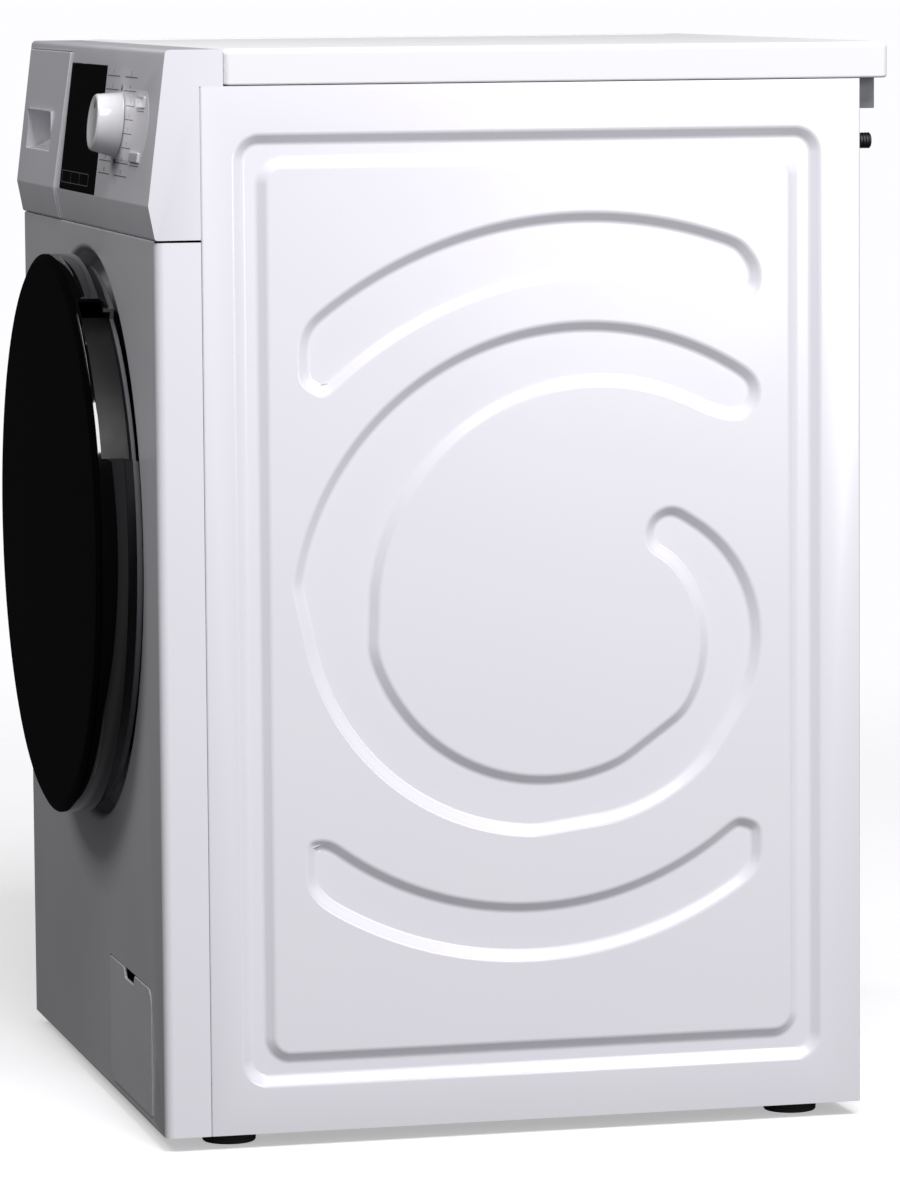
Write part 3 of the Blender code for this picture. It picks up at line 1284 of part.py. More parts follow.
def build_drum():
    """The drum, its lifters, the spider with its shaft, and the pulley."""
    place = (0, FRONT_Y, AXIS_Z)
    sheet = DRUM_SHEET
    radius = DRUM_RADIUS
    front = DRUM_FRONT
    back = DRUM_BACK
    mouth = DRUM_MOUTH_RADIUS
    profile = [(0.0, back), (radius - 5 * MM, back), (radius, back - 5 * MM), (radius, front + 11 * MM),
               (radius - 5 * MM, front + 6 * MM), (mouth, front), (mouth, front + sheet),
               (radius - 5.6 * MM, front + 7.3 * MM), (radius - sheet, front + 11.6 * MM),
               (radius - sheet, back - 5.6 * MM), (radius - 5.6 * MM, back - sheet), (0.0, back - sheet)]
    drum = turned("drum", profile, "stainless", place)
    marker = empty("drum_axis", place)
    pieces = [drum]
    seat = radius * math.cos(math.pi / BIG_ROUND) - 3 * MM
    top = seat - LIFTER_HEIGHT
    for index in range(LIFTER_COUNT):
        angle = 2 * math.pi * index / LIFTER_COUNT - math.pi / 2
        points = [(-LIFTER_HALF_WIDTH, -seat), (LIFTER_HALF_WIDTH, -seat), (LIFTER_HALF_WIDTH * 0.35, -top),
                  (-LIFTER_HALF_WIDTH * 0.35, -top)]
        spin = Matrix.Rotation(angle + math.pi / 2, 2)
        outline = [tuple(spin @ Vector(point)) for point in points]
        outline = [(x, z + AXIS_Z) for x, z in outline]
        low = front + LIFTER_END_GAP
        high = back - LIFTER_END_GAP
        pieces.append(plate("drum_lifter_" + str(index + 1), [outline], high - low, "XZ",
                            (0, deep((low + high) / 2), 0), "white_plastic"))
    pieces.append(build_spider(place))
    pieces.append(build_drum_pulley(place))
    hang(pieces, marker)


def build_spider(place):
    """The three-armed casting behind the drum with its shaft."""
    start = DRUM_BACK + GAP
    hub_end = TUB_BACK - HUB_LENGTH + 14 * MM - 1 * MM
    end = PULLEY_FRONT + PULLEY_WIDTH + 8 * MM
    profile = [(0.0, end), (SHAFT_RADIUS, end), (SHAFT_RADIUS, hub_end), (HUB_RADIUS - 5 * MM, hub_end),
               (HUB_RADIUS - 5 * MM, start), (0.0, start)]
    shaft = turned("drum_spider_shaft", profile, "aluminium", place, MID_ROUND)
    arm_length = DRUM_RADIUS - 12 * MM
    for index in range(LIFTER_COUNT):
        angle = 2 * math.pi * index / LIFTER_COUNT
        arm = block("spider_arm_" + str(index + 1), (-14 * MM, start, 0),
                    (14 * MM, hub_end - 1 * MM, arm_length), None, place)
        arm.rotation_euler = (0, angle, 0)
        join(shaft, arm)
    return shaft


def build_drum_pulley(place):
    """The large belt wheel, with round holes between its spokes."""
    front = PULLEY_FRONT
    back = front + PULLEY_WIDTH
    radius = DRUM_PULLEY_RADIUS
    bore = SHAFT_RADIUS + GAP
    profile = [(radius, back), (radius, front), (radius - 6 * MM, front), (radius - 6 * MM, front + 5 * MM),
               (30 * MM, front + 5 * MM), (30 * MM, front), (bore, front), (bore, back), (30 * MM, back),
               (30 * MM, back - 5 * MM), (radius - 6 * MM, back - 5 * MM), (radius - 6 * MM, back)]
    wheel = turned("drum_pulley", profile, "aluminium", place)
    for index in range(PULLEY_HOLES):
        angle = 2 * math.pi * index / PULLEY_HOLES
        x = place[0] + 80 * MM * math.cos(angle)
        z = place[2] + 80 * MM * math.sin(angle)
        hole = rod("pulley_hole_" + str(index + 1), 32 * MM, (x, deep(front - 5 * MM), z),
                   (x, deep(back + 5 * MM), z), None, 12)
        cut(wheel, hole)
    return wheel


def build_drive():
    """The motor under the tub, its pulley and the belt."""
    centre = (MOTOR_X, FRONT_Y, AXIS_Z - MOTOR_DROP)
    back = PULLEY_FRONT - 24 * MM
    front = back - MOTOR_LENGTH
    shaft = 6 * MM
    bore = shaft + GAP
    profile = [(0.0, front), (MOTOR_RADIUS - 8 * MM, front), (MOTOR_RADIUS, front + 8 * MM),
               (MOTOR_RADIUS, back - 8 * MM), (MOTOR_RADIUS - 8 * MM, back), (bore, back),
               (bore, back - 20 * MM), (0.0, back - 20 * MM)]
    motor = turned("motor", profile, "zinc_steel", centre, MID_ROUND)
    lug_top = AXIS_Z - TUB_RADIUS - 1 * MM - centre[2]
    lug = block("motor_lug", (-MOTOR_X - 12 * MM, front + 20 * MM, MOTOR_RADIUS * 0.5),
                (-MOTOR_X + 40 * MM, back - 20 * MM, lug_top), None, centre)
    join(motor, lug)
    wheel_front = PULLEY_FRONT
    wheel_back = wheel_front + PULLEY_WIDTH
    flange = MOTOR_PULLEY_RADIUS + 2.2 * MM
    wheel_profile = [(0.0, wheel_back), (flange, wheel_back), (flange, wheel_back - 1 * MM),
                     (MOTOR_PULLEY_RADIUS, wheel_back - 1 * MM), (MOTOR_PULLEY_RADIUS, wheel_front + 1 * MM),
                     (flange, wheel_front + 1 * MM), (flange, wheel_front), (shaft, wheel_front),
                     (shaft, back - 19 * MM), (0.0, back - 19 * MM)]
    turned("motor_pulley", wheel_profile, "zinc_steel", centre, SMALL_ROUND)
    build_belt(centre)


def belt_loop(big, small, centre):
    """A closed loop round both pulleys at the given radii."""
    axis = Vector((0, AXIS_Z))
    other = Vector((centre[0], centre[2]))
    along = other - axis
    lean = math.acos((big - small) / along.length)
    heading = math.degrees(math.atan2(along.y, along.x))
    spread = math.degrees(lean)
    points = arc(tuple(axis), big, heading + spread, heading + 360 - spread, 36)
    points += arc(tuple(other), small, heading - spread, heading + spread, 10)
    return points


def build_belt(centre):
    """The ribbed belt, drawn as one loop just clear of both pulleys."""
    big = (DRUM_PULLEY_RADIUS + GAP) / math.cos(math.radians(3.5))
    small = (MOTOR_PULLEY_RADIUS + GAP) / math.cos(math.radians(9))
    inside = belt_loop(big, small, centre)
    outside = belt_loop(big + BELT_THICKNESS, small + BELT_THICKNESS, centre)
    middle = PULLEY_FRONT + PULLEY_WIDTH / 2
    plate("drive_belt", [outside, inside], BELT_WIDTH, "XZ", (0, deep(middle), 0), "black_rubber")


def build():
    """Build every piece."""
    build_base()
    build_feet()
    build_side_panel("side_panel_left", -1)
    build_side_panel("side_panel_right", 1)
    build_front_panel()
    build_rear()
    build_rear_fittings()
    build_worktop()
    build_console()
    build_drawer()
    build_door()
    build_gasket()
    build_flap()
    build_tub()
    build_springs()
    build_drum()
    build_drive()


PARTS, CUTTERS = clear_scene()
build()
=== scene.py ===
"""Looks of the front load washing machine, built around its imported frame."""

import logging
import math
from dataclasses import dataclass, field
from enum import Enum
from typing import Callable, Iterable, Optional, Sequence

import bmesh
import bpy
import numpy as np
from mathutils import Matrix, Vector


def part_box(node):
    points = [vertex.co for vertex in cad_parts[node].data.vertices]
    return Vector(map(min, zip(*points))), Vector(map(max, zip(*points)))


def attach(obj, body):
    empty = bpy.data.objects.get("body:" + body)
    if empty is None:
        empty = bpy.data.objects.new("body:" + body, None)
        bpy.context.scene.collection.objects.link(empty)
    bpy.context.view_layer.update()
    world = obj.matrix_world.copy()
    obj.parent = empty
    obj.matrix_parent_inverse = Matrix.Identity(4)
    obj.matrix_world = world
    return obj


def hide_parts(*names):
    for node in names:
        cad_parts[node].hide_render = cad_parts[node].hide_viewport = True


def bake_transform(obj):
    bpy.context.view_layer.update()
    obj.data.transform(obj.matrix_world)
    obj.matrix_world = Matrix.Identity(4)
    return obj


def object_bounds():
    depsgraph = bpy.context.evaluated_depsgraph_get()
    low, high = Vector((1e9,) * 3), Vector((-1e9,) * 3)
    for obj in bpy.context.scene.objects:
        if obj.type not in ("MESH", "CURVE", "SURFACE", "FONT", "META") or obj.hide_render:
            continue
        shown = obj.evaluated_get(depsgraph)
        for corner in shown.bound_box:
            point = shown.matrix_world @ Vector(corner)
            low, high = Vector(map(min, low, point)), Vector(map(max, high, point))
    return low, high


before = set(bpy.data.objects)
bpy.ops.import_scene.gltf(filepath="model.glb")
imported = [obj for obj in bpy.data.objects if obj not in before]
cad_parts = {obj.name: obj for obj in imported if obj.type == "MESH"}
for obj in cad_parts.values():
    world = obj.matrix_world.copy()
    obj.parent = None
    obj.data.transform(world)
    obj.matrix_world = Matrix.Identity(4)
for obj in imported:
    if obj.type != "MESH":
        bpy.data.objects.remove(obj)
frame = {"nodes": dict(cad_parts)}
CAD_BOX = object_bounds()

log = logging.getLogger("washing_machine")

MM = 0.001
Point2 = tuple[float, float]


class Body(str, Enum):
    """The bodies of the frame that pieces ride on."""

    CABINET = "cabinet"
    DRAWER = "drawer"
    KNOB = "knob"
    DOOR = "door"
    CATCH = "catch"
    FLAP = "flap"
    TUB = "tub"
    DRUM = "drum_set"


def span(node: str) -> tuple[Vector, Vector]:
    """Lowest and highest corners of a frame node.

    Args:
        node: the node's name.

    Returns:
        The two corners.
    """
    low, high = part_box(node)
    return Vector(low), Vector(high)


FRONT_LOW, FRONT_HIGH = span("front_panel")
DOOR_LOW, DOOR_HIGH = span("door_glass")
FRONT_Y = FRONT_LOW.y
AXIS_Z = (DOOR_LOW.z + DOOR_HIGH.z) / 2
DOOR_R = (DOOR_HIGH.x - DOOR_LOW.x) / 2
HALF = CAD_BOX[1][0]
TOP = CAD_BOX[1][2]
CONSOLE_LOW, CONSOLE_HIGH = span("console")
BACK_Y = span("rear_panel")[1].y


def deep(distance: float) -> float:
    """World Y of a depth behind the front panel's face."""
    return FRONT_Y + distance


# ------------------------------------------------------------------ node helpers
def srgb(code: str) -> tuple[float, float, float, float]:
    """Linear colour of an sRGB hex code.

    Args:
        code: six hex digits after a hash sign.

    Returns:
        Red, green, blue and alpha, linear.
    """
    parts = [int(code[i:i + 2], 16) / 255 for i in (1, 3, 5)]
    linear = [c / 12.92 if c <= 0.04045 else ((c + 0.055) / 1.055) ** 2.4 for c in parts]
    return (*linear, 1.0)


def add_node(tree: bpy.types.NodeTree, kind: str, settings: Optional[dict] = None,
             inputs: Optional[dict] = None) -> bpy.types.Node:
    """Add one shader node.

    Args:
        tree: the tree that gets the node.
        kind: the node's type name.
        settings: attribute values.
        inputs: input name or index to a value, or to an output socket to link.

    Returns:
        The node.
    """
    node = tree.nodes.new(kind)
    for key, value in (settings or {}).items():
        setattr(node, key, value)
    for key, value in (inputs or {}).items():
        if isinstance(value, bpy.types.NodeSocket):
            tree.links.new(value, node.inputs[key])
        else:
            node.inputs[key].default_value = value
    return node


class Pattern(Enum):
    """How a surface's fine detail is drawn."""

    ORANGE_PEEL = "orange_peel"
    MOULDED = "moulded"
    POLISHED = "polished"
    BRUSHED = "brushed"
    SPANGLE = "spangle"
    CAST = "cast"
    CONCRETE = "concrete"
    BOARD = "board"


@dataclass(frozen=True)
class Finish:
    """One surface finish: colour, gloss and the grain that its making leaves.

    Roughness wanders by rough_span over patches of patch_mm, and the relief has grains of grain_mm that
    stand relief_mm high. The colour wanders towards shade by shade_amount.
    """

    name: str
    colour: str
    shade: str
    roughness: float
    grain_mm: float
    relief_mm: float
    pattern: Pattern
    metallic: float = 0.0
    ior: float = 1.5
    coat: float = 0.0
    coat_roughness: float = 0.05
    transmission: float = 0.0
    patch_mm: float = 60.0
    rough_span: float = 0.06
    shade_amount: float = 0.3
    stretch: tuple[float, float, float] = (1.0, 1.0, 1.0)

    def make(self) -> bpy.types.Material:
        """Build the material once and reuse it.

        Returns:
            The material.
        """
        known = bpy.data.materials.get(self.name)
        if known:
            return known
        material = bpy.data.materials.new(self.name)
        material.use_nodes = True
        tree = material.node_tree
        shader = tree.nodes["Principled BSDF"]
        shader.inputs["Metallic"].default_value = self.metallic
        if not self.metallic:
            shader.inputs["IOR"].default_value = self.ior
        shader.inputs["Coat Weight"].default_value = self.coat
        shader.inputs["Coat Roughness"].default_value = self.coat_roughness
        shader.inputs["Transmission Weight"].default_value = self.transmission
        place = add_node(tree, "ShaderNodeTexCoord")
        spot = add_node(tree, "ShaderNodeMapping", None,
                        {"Vector": place.outputs["Object"], "Scale": self.stretch})
        patches = add_node(tree, "ShaderNodeTexNoise", None,
                           {"Vector": place.outputs["Object"], "Scale": 1 / (self.patch_mm * MM), "Detail": 3.0})
        grain = self.grain(tree, spot.outputs["Vector"])
        mixed = add_node(tree, "ShaderNodeMapRange", None,
                         {"Value": patches.outputs["Fac"], "From Min": 0.3, "From Max": 0.7,
                          "To Min": 0.0, "To Max": self.shade_amount})
        tint = add_node(tree, "ShaderNodeMix", {"data_type": "RGBA"},
                        {"Factor": mixed.outputs["Result"], 6: srgb(self.colour), 7: srgb(self.shade)})
        tree.links.new(self.colour_socket(tree, tint.outputs[2], grain), shader.inputs["Base Color"])
        gloss = add_node(tree, "ShaderNodeMapRange", None,
                         {"Value": patches.outputs["Fac"], "From Min": 0.3, "From Max": 0.7,
                          "To Min": max(self.roughness - self.rough_span, 0.0),
                          "To Max": self.roughness + self.rough_span})
        tree.links.new(gloss.outputs["Result"], shader.inputs["Roughness"])
        relief = add_node(tree, "ShaderNodeBump", None,
                          {"Strength": 1.0, "Distance": self.relief_mm * MM, "Height": grain})
        tree.links.new(relief.outputs["Normal"], shader.inputs["Normal"])
        return material

    def grain(self, tree: bpy.types.NodeTree, spot: bpy.types.NodeSocket) -> bpy.types.NodeSocket:
        """The height pattern of the surface.

        Args:
            tree: the material's tree.
            spot: the coordinates.

        Returns:
            The socket that holds the height.
        """
        scale = 1 / (self.grain_mm * MM)
        if self.pattern is Pattern.SPANGLE:
            cells = add_node(tree, "ShaderNodeTexVoronoi", {"feature": "F1"}, {"Vector": spot, "Scale": scale})
            return cells.outputs["Distance"]
        if self.pattern is Pattern.BOARD:
            tracks = add_node(tree, "ShaderNodeTexBrick", None, {"Vector": spot, "Scale": scale})
            return tracks.outputs["Fac"]
        detail = {Pattern.ORANGE_PEEL: 0.0, Pattern.POLISHED: 0.0, Pattern.BRUSHED: 2.0}.get(self.pattern, 4.0)
        noise = add_node(tree, "ShaderNodeTexNoise", None, {"Vector": spot, "Scale": scale, "Detail": detail})
        return noise.outputs["Fac"]

    def colour_socket(self, tree: bpy.types.NodeTree, tint: bpy.types.NodeSocket,
                      grain: bpy.types.NodeSocket) -> bpy.types.NodeSocket:
        """The colour with the pattern's own marks where it has them.

        Args:
            tree: the material's tree.
            tint: the plain colour.
            grain: the height pattern.

        Returns:
            The socket that holds the colour.
        """
        if self.pattern not in (Pattern.CONCRETE, Pattern.BOARD, Pattern.CAST, Pattern.SPANGLE):
            return tint
        marked = add_node(tree, "ShaderNodeMix", {"data_type": "RGBA", "blend_type": "MULTIPLY"},
                          {"Factor": 0.35, 6: tint})
        ramp = add_node(tree, "ShaderNodeMapRange", None,
                        {"Value": grain, "From Min": 0.25, "From Max": 0.75, "To Min": 0.45, "To Max": 1.0})
        tree.links.new(ramp.outputs["Result"], marked.inputs[7])
        return marked.outputs[2]


# Stove-enamelled steel: sprayed and baked, which leaves a glossy skin with a faint orange peel.
ENAMELLED_STEEL = Finish("enamelled_steel", "#F1F0F6", "#EAE9F1", 0.24, 3.2, 0.012, Pattern.ORANGE_PEEL,
                         coat=0.35, coat_roughness=0.12, patch_mm=140, rough_span=0.03)
# White laminate pressed on board: satin, with a very fine pressed texture.
WHITE_LAMINATE = Finish("white_laminate", "#F3F2F7", "#ECEBF2", 0.34, 0.9, 0.02, Pattern.MOULDED,
                        patch_mm=120, rough_span=0.03)
# ABS moulded in a polished tool: smooth satin gloss with slight flow marks.
WHITE_ABS = Finish("white_abs", "#EFEEF3", "#E6E5EC", 0.3, 1.6, 0.01, Pattern.MOULDED, ior=1.54,
                   coat=0.2, patch_mm=70, rough_span=0.04)
# The same ABS, a shade greyer for the fascia; the greyness is painted shade, kept from the shade that the front face
# sits in.
FASCIA_ABS = Finish("fascia_abs", "#ECEBF1", "#E3E2E9", 0.32, 0.8, 0.012, Pattern.MOULDED, ior=1.54,
                    coat=0.25, patch_mm=90, rough_span=0.04)
# Piano black ABS: dyed through and polished, so it mirrors the room with almost no grain.
PIANO_BLACK = Finish("piano_black_abs", "#08080A", "#0C0B0C", 0.07, 9.0, 0.004, Pattern.POLISHED, ior=1.54,
                     coat=0.6, coat_roughness=0.03, patch_mm=50, rough_span=0.02)
# Tempered glass printed black behind: flat, hard and the clearest mirror on the machine.
BLACK_GLASS = Finish("black_tempered_glass", "#050506", "#080809", 0.04, 30.0, 0.003, Pattern.POLISHED, ior=1.52,
                     coat=0.5, coat_roughness=0.02, patch_mm=80, rough_span=0.015)
# Pressed borosilicate glass: clear, with the slow waviness of a pressed surface.
CLEAR_GLASS = Finish("pressed_clear_glass", "#F4FAF9", "#EFF7F6", 0.03, 24.0, 0.03, Pattern.POLISHED, ior=1.47,
                     transmission=1.0, rough_span=0.01)
# Charcoal ABS with a spark-eroded tool texture: matt, so it shows as a dark pocket.
CHARCOAL_ABS = Finish("charcoal_abs", "#1A1A1C", "#151517", 0.48, 0.7, 0.03, Pattern.MOULDED, ior=1.54)
# Grey polypropylene, talc filled: waxy satin with a soft grain.
GREY_PP = Finish("grey_polypropylene", "#8E9094", "#818388", 0.46, 0.9, 0.03, Pattern.MOULDED, ior=1.49)
# EPDM rubber: moulded, matt and slightly chalky.
EPDM_GREY = Finish("epdm_rubber_grey", "#77797D", "#6A6C70", 0.62, 0.6, 0.03, Pattern.MOULDED, ior=1.52)
# Black rubber: matt, dark and a little dusty.
BLACK_RUBBER = Finish("black_rubber", "#161617", "#202021", 0.7, 0.6, 0.04, Pattern.MOULDED, ior=1.52)
# Zinc-plated steel: a bright skin with faint crystals.
ZINC_STEEL = Finish("zinc_plated_steel", "#B9BBBD", "#A5A7AA", 0.34, 5.0, 0.01, Pattern.SPANGLE, metallic=1.0)
# Stainless sheet: rolled along the drum, which leaves fine lines that stretch the highlights.
STAINLESS = Finish("rolled_stainless", "#C9C8C5", "#B9B8B5", 0.2, 0.6, 0.006, Pattern.BRUSHED, metallic=1.0,
                   stretch=(1.0, 0.04, 1.0))
# Die-cast aluminium: pale and slightly pitted.
CAST_ALUMINIUM = Finish("cast_aluminium", "#B4B6B8", "#A3A5A8", 0.42, 1.2, 0.05, Pattern.CAST, metallic=1.0)
# Cast concrete: rough, with small voids.
CONCRETE = Finish("cast_concrete", "#8C8983", "#76736D", 0.9, 2.4, 0.35, Pattern.CONCRETE, shade_amount=0.8)
# Fibreglass board with solder mask: green, with fine tracks.
CIRCUIT = Finish("solder_mask_board", "#1E5A36", "#174A2B", 0.35, 14.0, 0.03, Pattern.BOARD)
# Silk-screened ink: flat grey, a touch rougher than what it is printed on.
INK_GREY = Finish("screen_ink_grey", "#6E6E74", "#68686E", 0.55, 0.5, 0.005, Pattern.MOULDED)
INK_DARK = Finish("screen_ink_dark", "#3A3A40", "#34343A", 0.5, 0.5, 0.005, Pattern.MOULDED)

# A moulded gloss ABS, whiter and shinier than the fascia, for the parts that fingers touch.
GLOSS_ABS = Finish("gloss_white_abs", "#F4F4F8", "#EEEEF3", 0.16, 5.0, 0.006, Pattern.POLISHED, ior=1.54, coat=0.5,
                   coat_roughness=0.06, patch_mm=60, rough_span=0.02)
# The screened field beside the knob, a shade paler than the fascia.
PALE_FIELD = Finish("screened_pale_field", "#F6F5FA", "#F0EFF6", 0.36, 0.6, 0.006, Pattern.MOULDED, ior=1.5)
# Unlit display bars, barely lighter than the window over them.
SEGMENT_OFF = Finish("unlit_segments", "#131316", "#151518", 0.2, 1.0, 0.002, Pattern.POLISHED, ior=1.5)


# ------------------------------------------------------------------ mesh helpers
def place_piece(name: str, bm: bmesh.types.BMesh, finish: Finish, body: Optional[str],
                replaced: Sequence[str] = (), bevel: float = 0.0, steps: int = 3,
                sharp_deg: float = 35.0) -> bpy.types.Object:
    """Turn a bmesh into a finished piece of the machine.

    Args:
        name: the piece's name.
        bm: the mesh, in world place; it is freed.
        finish: the surface finish.
        body: the body that the piece rides on, or None to leave it on no body.
        replaced: the frame nodes that the piece stands for.
        bevel: radius of the rounding on its sharp edges.
        steps: facets of that rounding.
        sharp_deg: edges sharper than this stay crisp.

    Returns:
        The object.
    """
    mesh = bpy.data.meshes.new(name)
    bm.to_mesh(mesh)
    bm.free()
    item = bpy.data.objects.new(name, mesh)
    bpy.context.scene.collection.objects.link(item)
    mesh.materials.append(finish.make())
    mesh.shade_smooth()
    if bevel > 0:
        rounding = item.modifiers.new("rounding", "BEVEL")
        rounding.width = bevel
        rounding.segments = steps
        rounding.limit_method = "ANGLE"
        rounding.angle_limit = math.radians(sharp_deg)
        rounding.harden_normals = True
        rounding.use_clamp_overlap = True
    else:
        mesh.set_sharp_from_angle(angle=math.radians(sharp_deg))
    if replaced:
        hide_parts(*replaced)
    if body is not None:
        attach(item, body.value if isinstance(body, Body) else body)
    log.info("%s: %d faces", name, len(mesh.polygons))
    return item


def arc(centre: Point2, radius: float, start: float, end: float, steps: int) -> list[Point2]:
    """Points along an arc, angles in degrees."""
    angles = [math.radians(start + (end - start) * i / steps) for i in range(steps + 1)]
    return [(centre[0] + radius * math.cos(a), centre[1] + radius * math.sin(a)) for a in angles]


def fillet(before: Point2, corner: Point2, after: Point2, radius: float, steps: int) -> list[Point2]:
    """Points of a rounded corner between two straight sides, smaller where the sides are short."""
    tip = Vector(corner)
    back = Vector(before) - tip
    ahead = Vector(after) - tip
    half = back.angle(ahead) / 2
    if half > math.radians(88):
        return [corner]
    reach = min(radius / math.tan(half), 0.45 * back.length, 0.45 * ahead.length)
    radius = reach * math.tan(half)
    middle = tip + (back.normalized() + ahead.normalized()).normalized() * (radius / math.sin(half))
    first = tip + back.normalized() * reach - middle
    sweep = first.angle_signed(tip + ahead.normalized() * reach - middle)
    points = []
    for index in range(steps + 1):
        spoke = first.copy()
        spoke.rotate(Matrix.Rotation(-sweep * index / steps, 2))
        points.append(tuple(middle + spoke))
    return points


def soften(points: Sequence[Point2], radius: float, steps: int = 4, closed: bool = True) -> list[Point2]:
    """Round every corner of an outline by one radius.

    Args:
        points: the outline's corners.
        radius: the rounding.
        steps: points in each rounding.
        closed: whether the last point joins the first.

    Returns:
        The rounded outline.
    """
    result: list[Point2] = []
    count = len(points)
    for index, corner in enumerate(points):
        if not closed and index in (0, count - 1):
            result.append(corner)
            continue
        result += fillet(points[index - 1], corner, points[(index + 1) % count], radius, steps)
    return result


def rectangle(low: Point2, high: Point2, radius: float, steps: int = 6) -> list[Point2]:
    """A rectangle with rounded corners."""
    corners = [(low[0], low[1]), (high[0], low[1]), (high[0], high[1]), (low[0], high[1])]
    return soften(corners, radius, steps) if radius > 0 else corners


def spun(profile: Sequence[Point2], centre: Vector, steps: int = 96, axis: str = "Y") -> bmesh.types.BMesh:
    """Spin a section about an axis.

    Args:
        profile: (radius, distance along the axis) points; it closes on itself or on the axis.
        centre: the point on the axis that distances count from.
        steps: facets round the axis.
        axis: Y or Z.

    Returns:
        The closed mesh, facing outwards.
    """
    bm = bmesh.new()
    on_axis = min(point[0] for point in profile) < 1e-9
    verts = []
    for radius, along in profile:
        offset = Vector((radius, along, 0)) if axis == "Y" else Vector((radius, 0, along))
        verts.append(bm.verts.new(centre + offset))
    pairs = list(zip(verts, verts[1:]))
    if not on_axis:
        pairs.append((verts[-1], verts[0]))
    edges = [bm.edges.new(pair) for pair in pairs]
    direction = Vector((0, 1, 0)) if axis == "Y" else Vector((0, 0, 1))
    bmesh.ops.spin(bm, geom=verts + edges, cent=centre, axis=direction, angle=2 * math.pi, steps=steps,
                   use_merge=True)
    bmesh.ops.remove_doubles(bm, verts=bm.verts, dist=1e-6)
    bmesh.ops.recalc_face_normals(bm, faces=bm.faces)
    return bm


def slab(outline: Sequence[Point2], low: float, high: float, plane: str = "XZ") -> bmesh.types.BMesh:
    """A flat outline extruded between two places.

    Args:
        outline: the outline's points in the plane.
        low: where it starts across the plane.
        high: where it ends.
        plane: XZ, XY or YZ.

    Returns:
        The closed mesh.
    """
    spots: dict[str, Callable[[float, float, float], tuple]] = {
        "XZ": lambda a, b, c: (a, c, b), "XY": lambda a, b, c: (a, b, c), "YZ": lambda a, b, c: (c, a, b)}
    bm = bmesh.new()
    face = bm.faces.new([bm.verts.new(spots[plane](a, b, low)) for a, b in outline])
    pulled = bmesh.ops.extrude_face_region(bm, geom=[face])["geom"]
    moved = [piece for piece in pulled if isinstance(piece, bmesh.types.BMVert)]
    bmesh.ops.translate(bm, vec=Vector(spots[plane](0, 0, high - low)), verts=moved)
    bmesh.ops.recalc_face_normals(bm, faces=bm.faces)
    return bm


def box(low: Sequence[float], high: Sequence[float]) -> bmesh.types.BMesh:
    """A plain box between two corners, for cutting or bevelling."""
    low_v, high_v = Vector(low), Vector(high)
    bm = bmesh.new()
    bmesh.ops.create_cube(bm, size=1.0)
    bmesh.ops.scale(bm, vec=high_v - low_v, verts=bm.verts)
    bmesh.ops.translate(bm, vec=(low_v + high_v) / 2, verts=bm.verts)
    return bm


def carve(bm: bmesh.types.BMesh, tools: Iterable[bmesh.types.BMesh], operation: str = "DIFFERENCE") -> bmesh.types.BMesh:
    """Cut tools out of a mesh, or join them to it.

    Args:
        bm: the mesh; it is freed.
        tools: the tools; they are freed.
        operation: the Boolean's operation.

    Returns:
        The new mesh.
    """
    base = bpy.data.objects.new("carving", bpy.data.meshes.new("carving"))
    bm.to_mesh(base.data)
    bm.free()
    bpy.context.scene.collection.objects.link(base)
    helpers = []
    for tool in tools:
        helper = bpy.data.objects.new("tool", bpy.data.meshes.new("tool"))
        tool.to_mesh(helper.data)
        tool.free()
        bpy.context.scene.collection.objects.link(helper)
        change = base.modifiers.new("carve", "BOOLEAN")
        change.operation = operation
        change.object = helper
        helpers.append(helper)
    graph = bpy.context.evaluated_depsgraph_get()
    graph.update()
    mesh = bpy.data.meshes.new_from_object(base.evaluated_get(graph))
    result = bmesh.new()
    result.from_mesh(mesh)
    for item in [base, *helpers]:
        bpy.data.objects.remove(item, do_unlink=True)
    bmesh.ops.remove_doubles(result, verts=result.verts, dist=1e-6)
    bmesh.ops.dissolve_degenerate(result, edges=result.edges, dist=1e-6)
    return result


def merged_copy(node: str) -> bmesh.types.BMesh:
    """A frame node's mesh, welded so that its edges can be rounded.

    Args:
        node: the node's name.

    Returns:
        The welded mesh.
    """
    bm = bmesh.new()
    bm.from_mesh(frame["nodes"][node].data)
    bmesh.ops.remove_doubles(bm, verts=bm.verts, dist=2e-6)
    bmesh.ops.dissolve_limit(bm, angle_limit=math.radians(1), verts=bm.verts, edges=bm.edges)
    return bm


def add_loop(bm: bmesh.types.BMesh, points: Sequence[Point2],
             to_space: Callable[[Point2], tuple]) -> list[bmesh.types.BMVert]:
    """Draw a closed loop of edges and return its vertices."""
    verts = [bm.verts.new(to_space(point)) for point in points]
    for first, second in zip(verts, verts[1:] + verts[:1]):
        bm.edges.new((first, second))
    return verts


def loop_edges(verts: Sequence[bmesh.types.BMVert]) -> list[bmesh.types.BMEdge]:
    """The edges between neighbouring vertices of a closed loop."""
    edges = []
    for first, second in zip(verts, list(verts[1:]) + [verts[0]]):
        edges += [edge for edge in first.link_edges if edge.other_vert(first) is second]
    return edges


def fill_between(bm: bmesh.types.BMesh, loops: Sequence[Sequence[bmesh.types.BMVert]],
                 outward: Vector) -> list[bmesh.types.BMFace]:
    """Fill the flat area between closed loops.

    Args:
        bm: the mesh.
        loops: the outer loop and the holes.
        outward: the side that the faces look to.

    Returns:
        The new faces.
    """
    edges = [edge for verts in loops for edge in loop_edges(verts)]
    filled = bmesh.ops.triangle_fill(bm, use_beauty=True, use_dissolve=False, edges=edges)
    faces = [piece for piece in filled["geom"] if isinstance(piece, bmesh.types.BMFace)]
    bmesh.ops.reverse_faces(bm, faces=[face for face in faces if face.normal.dot(outward) < 0])
    return faces


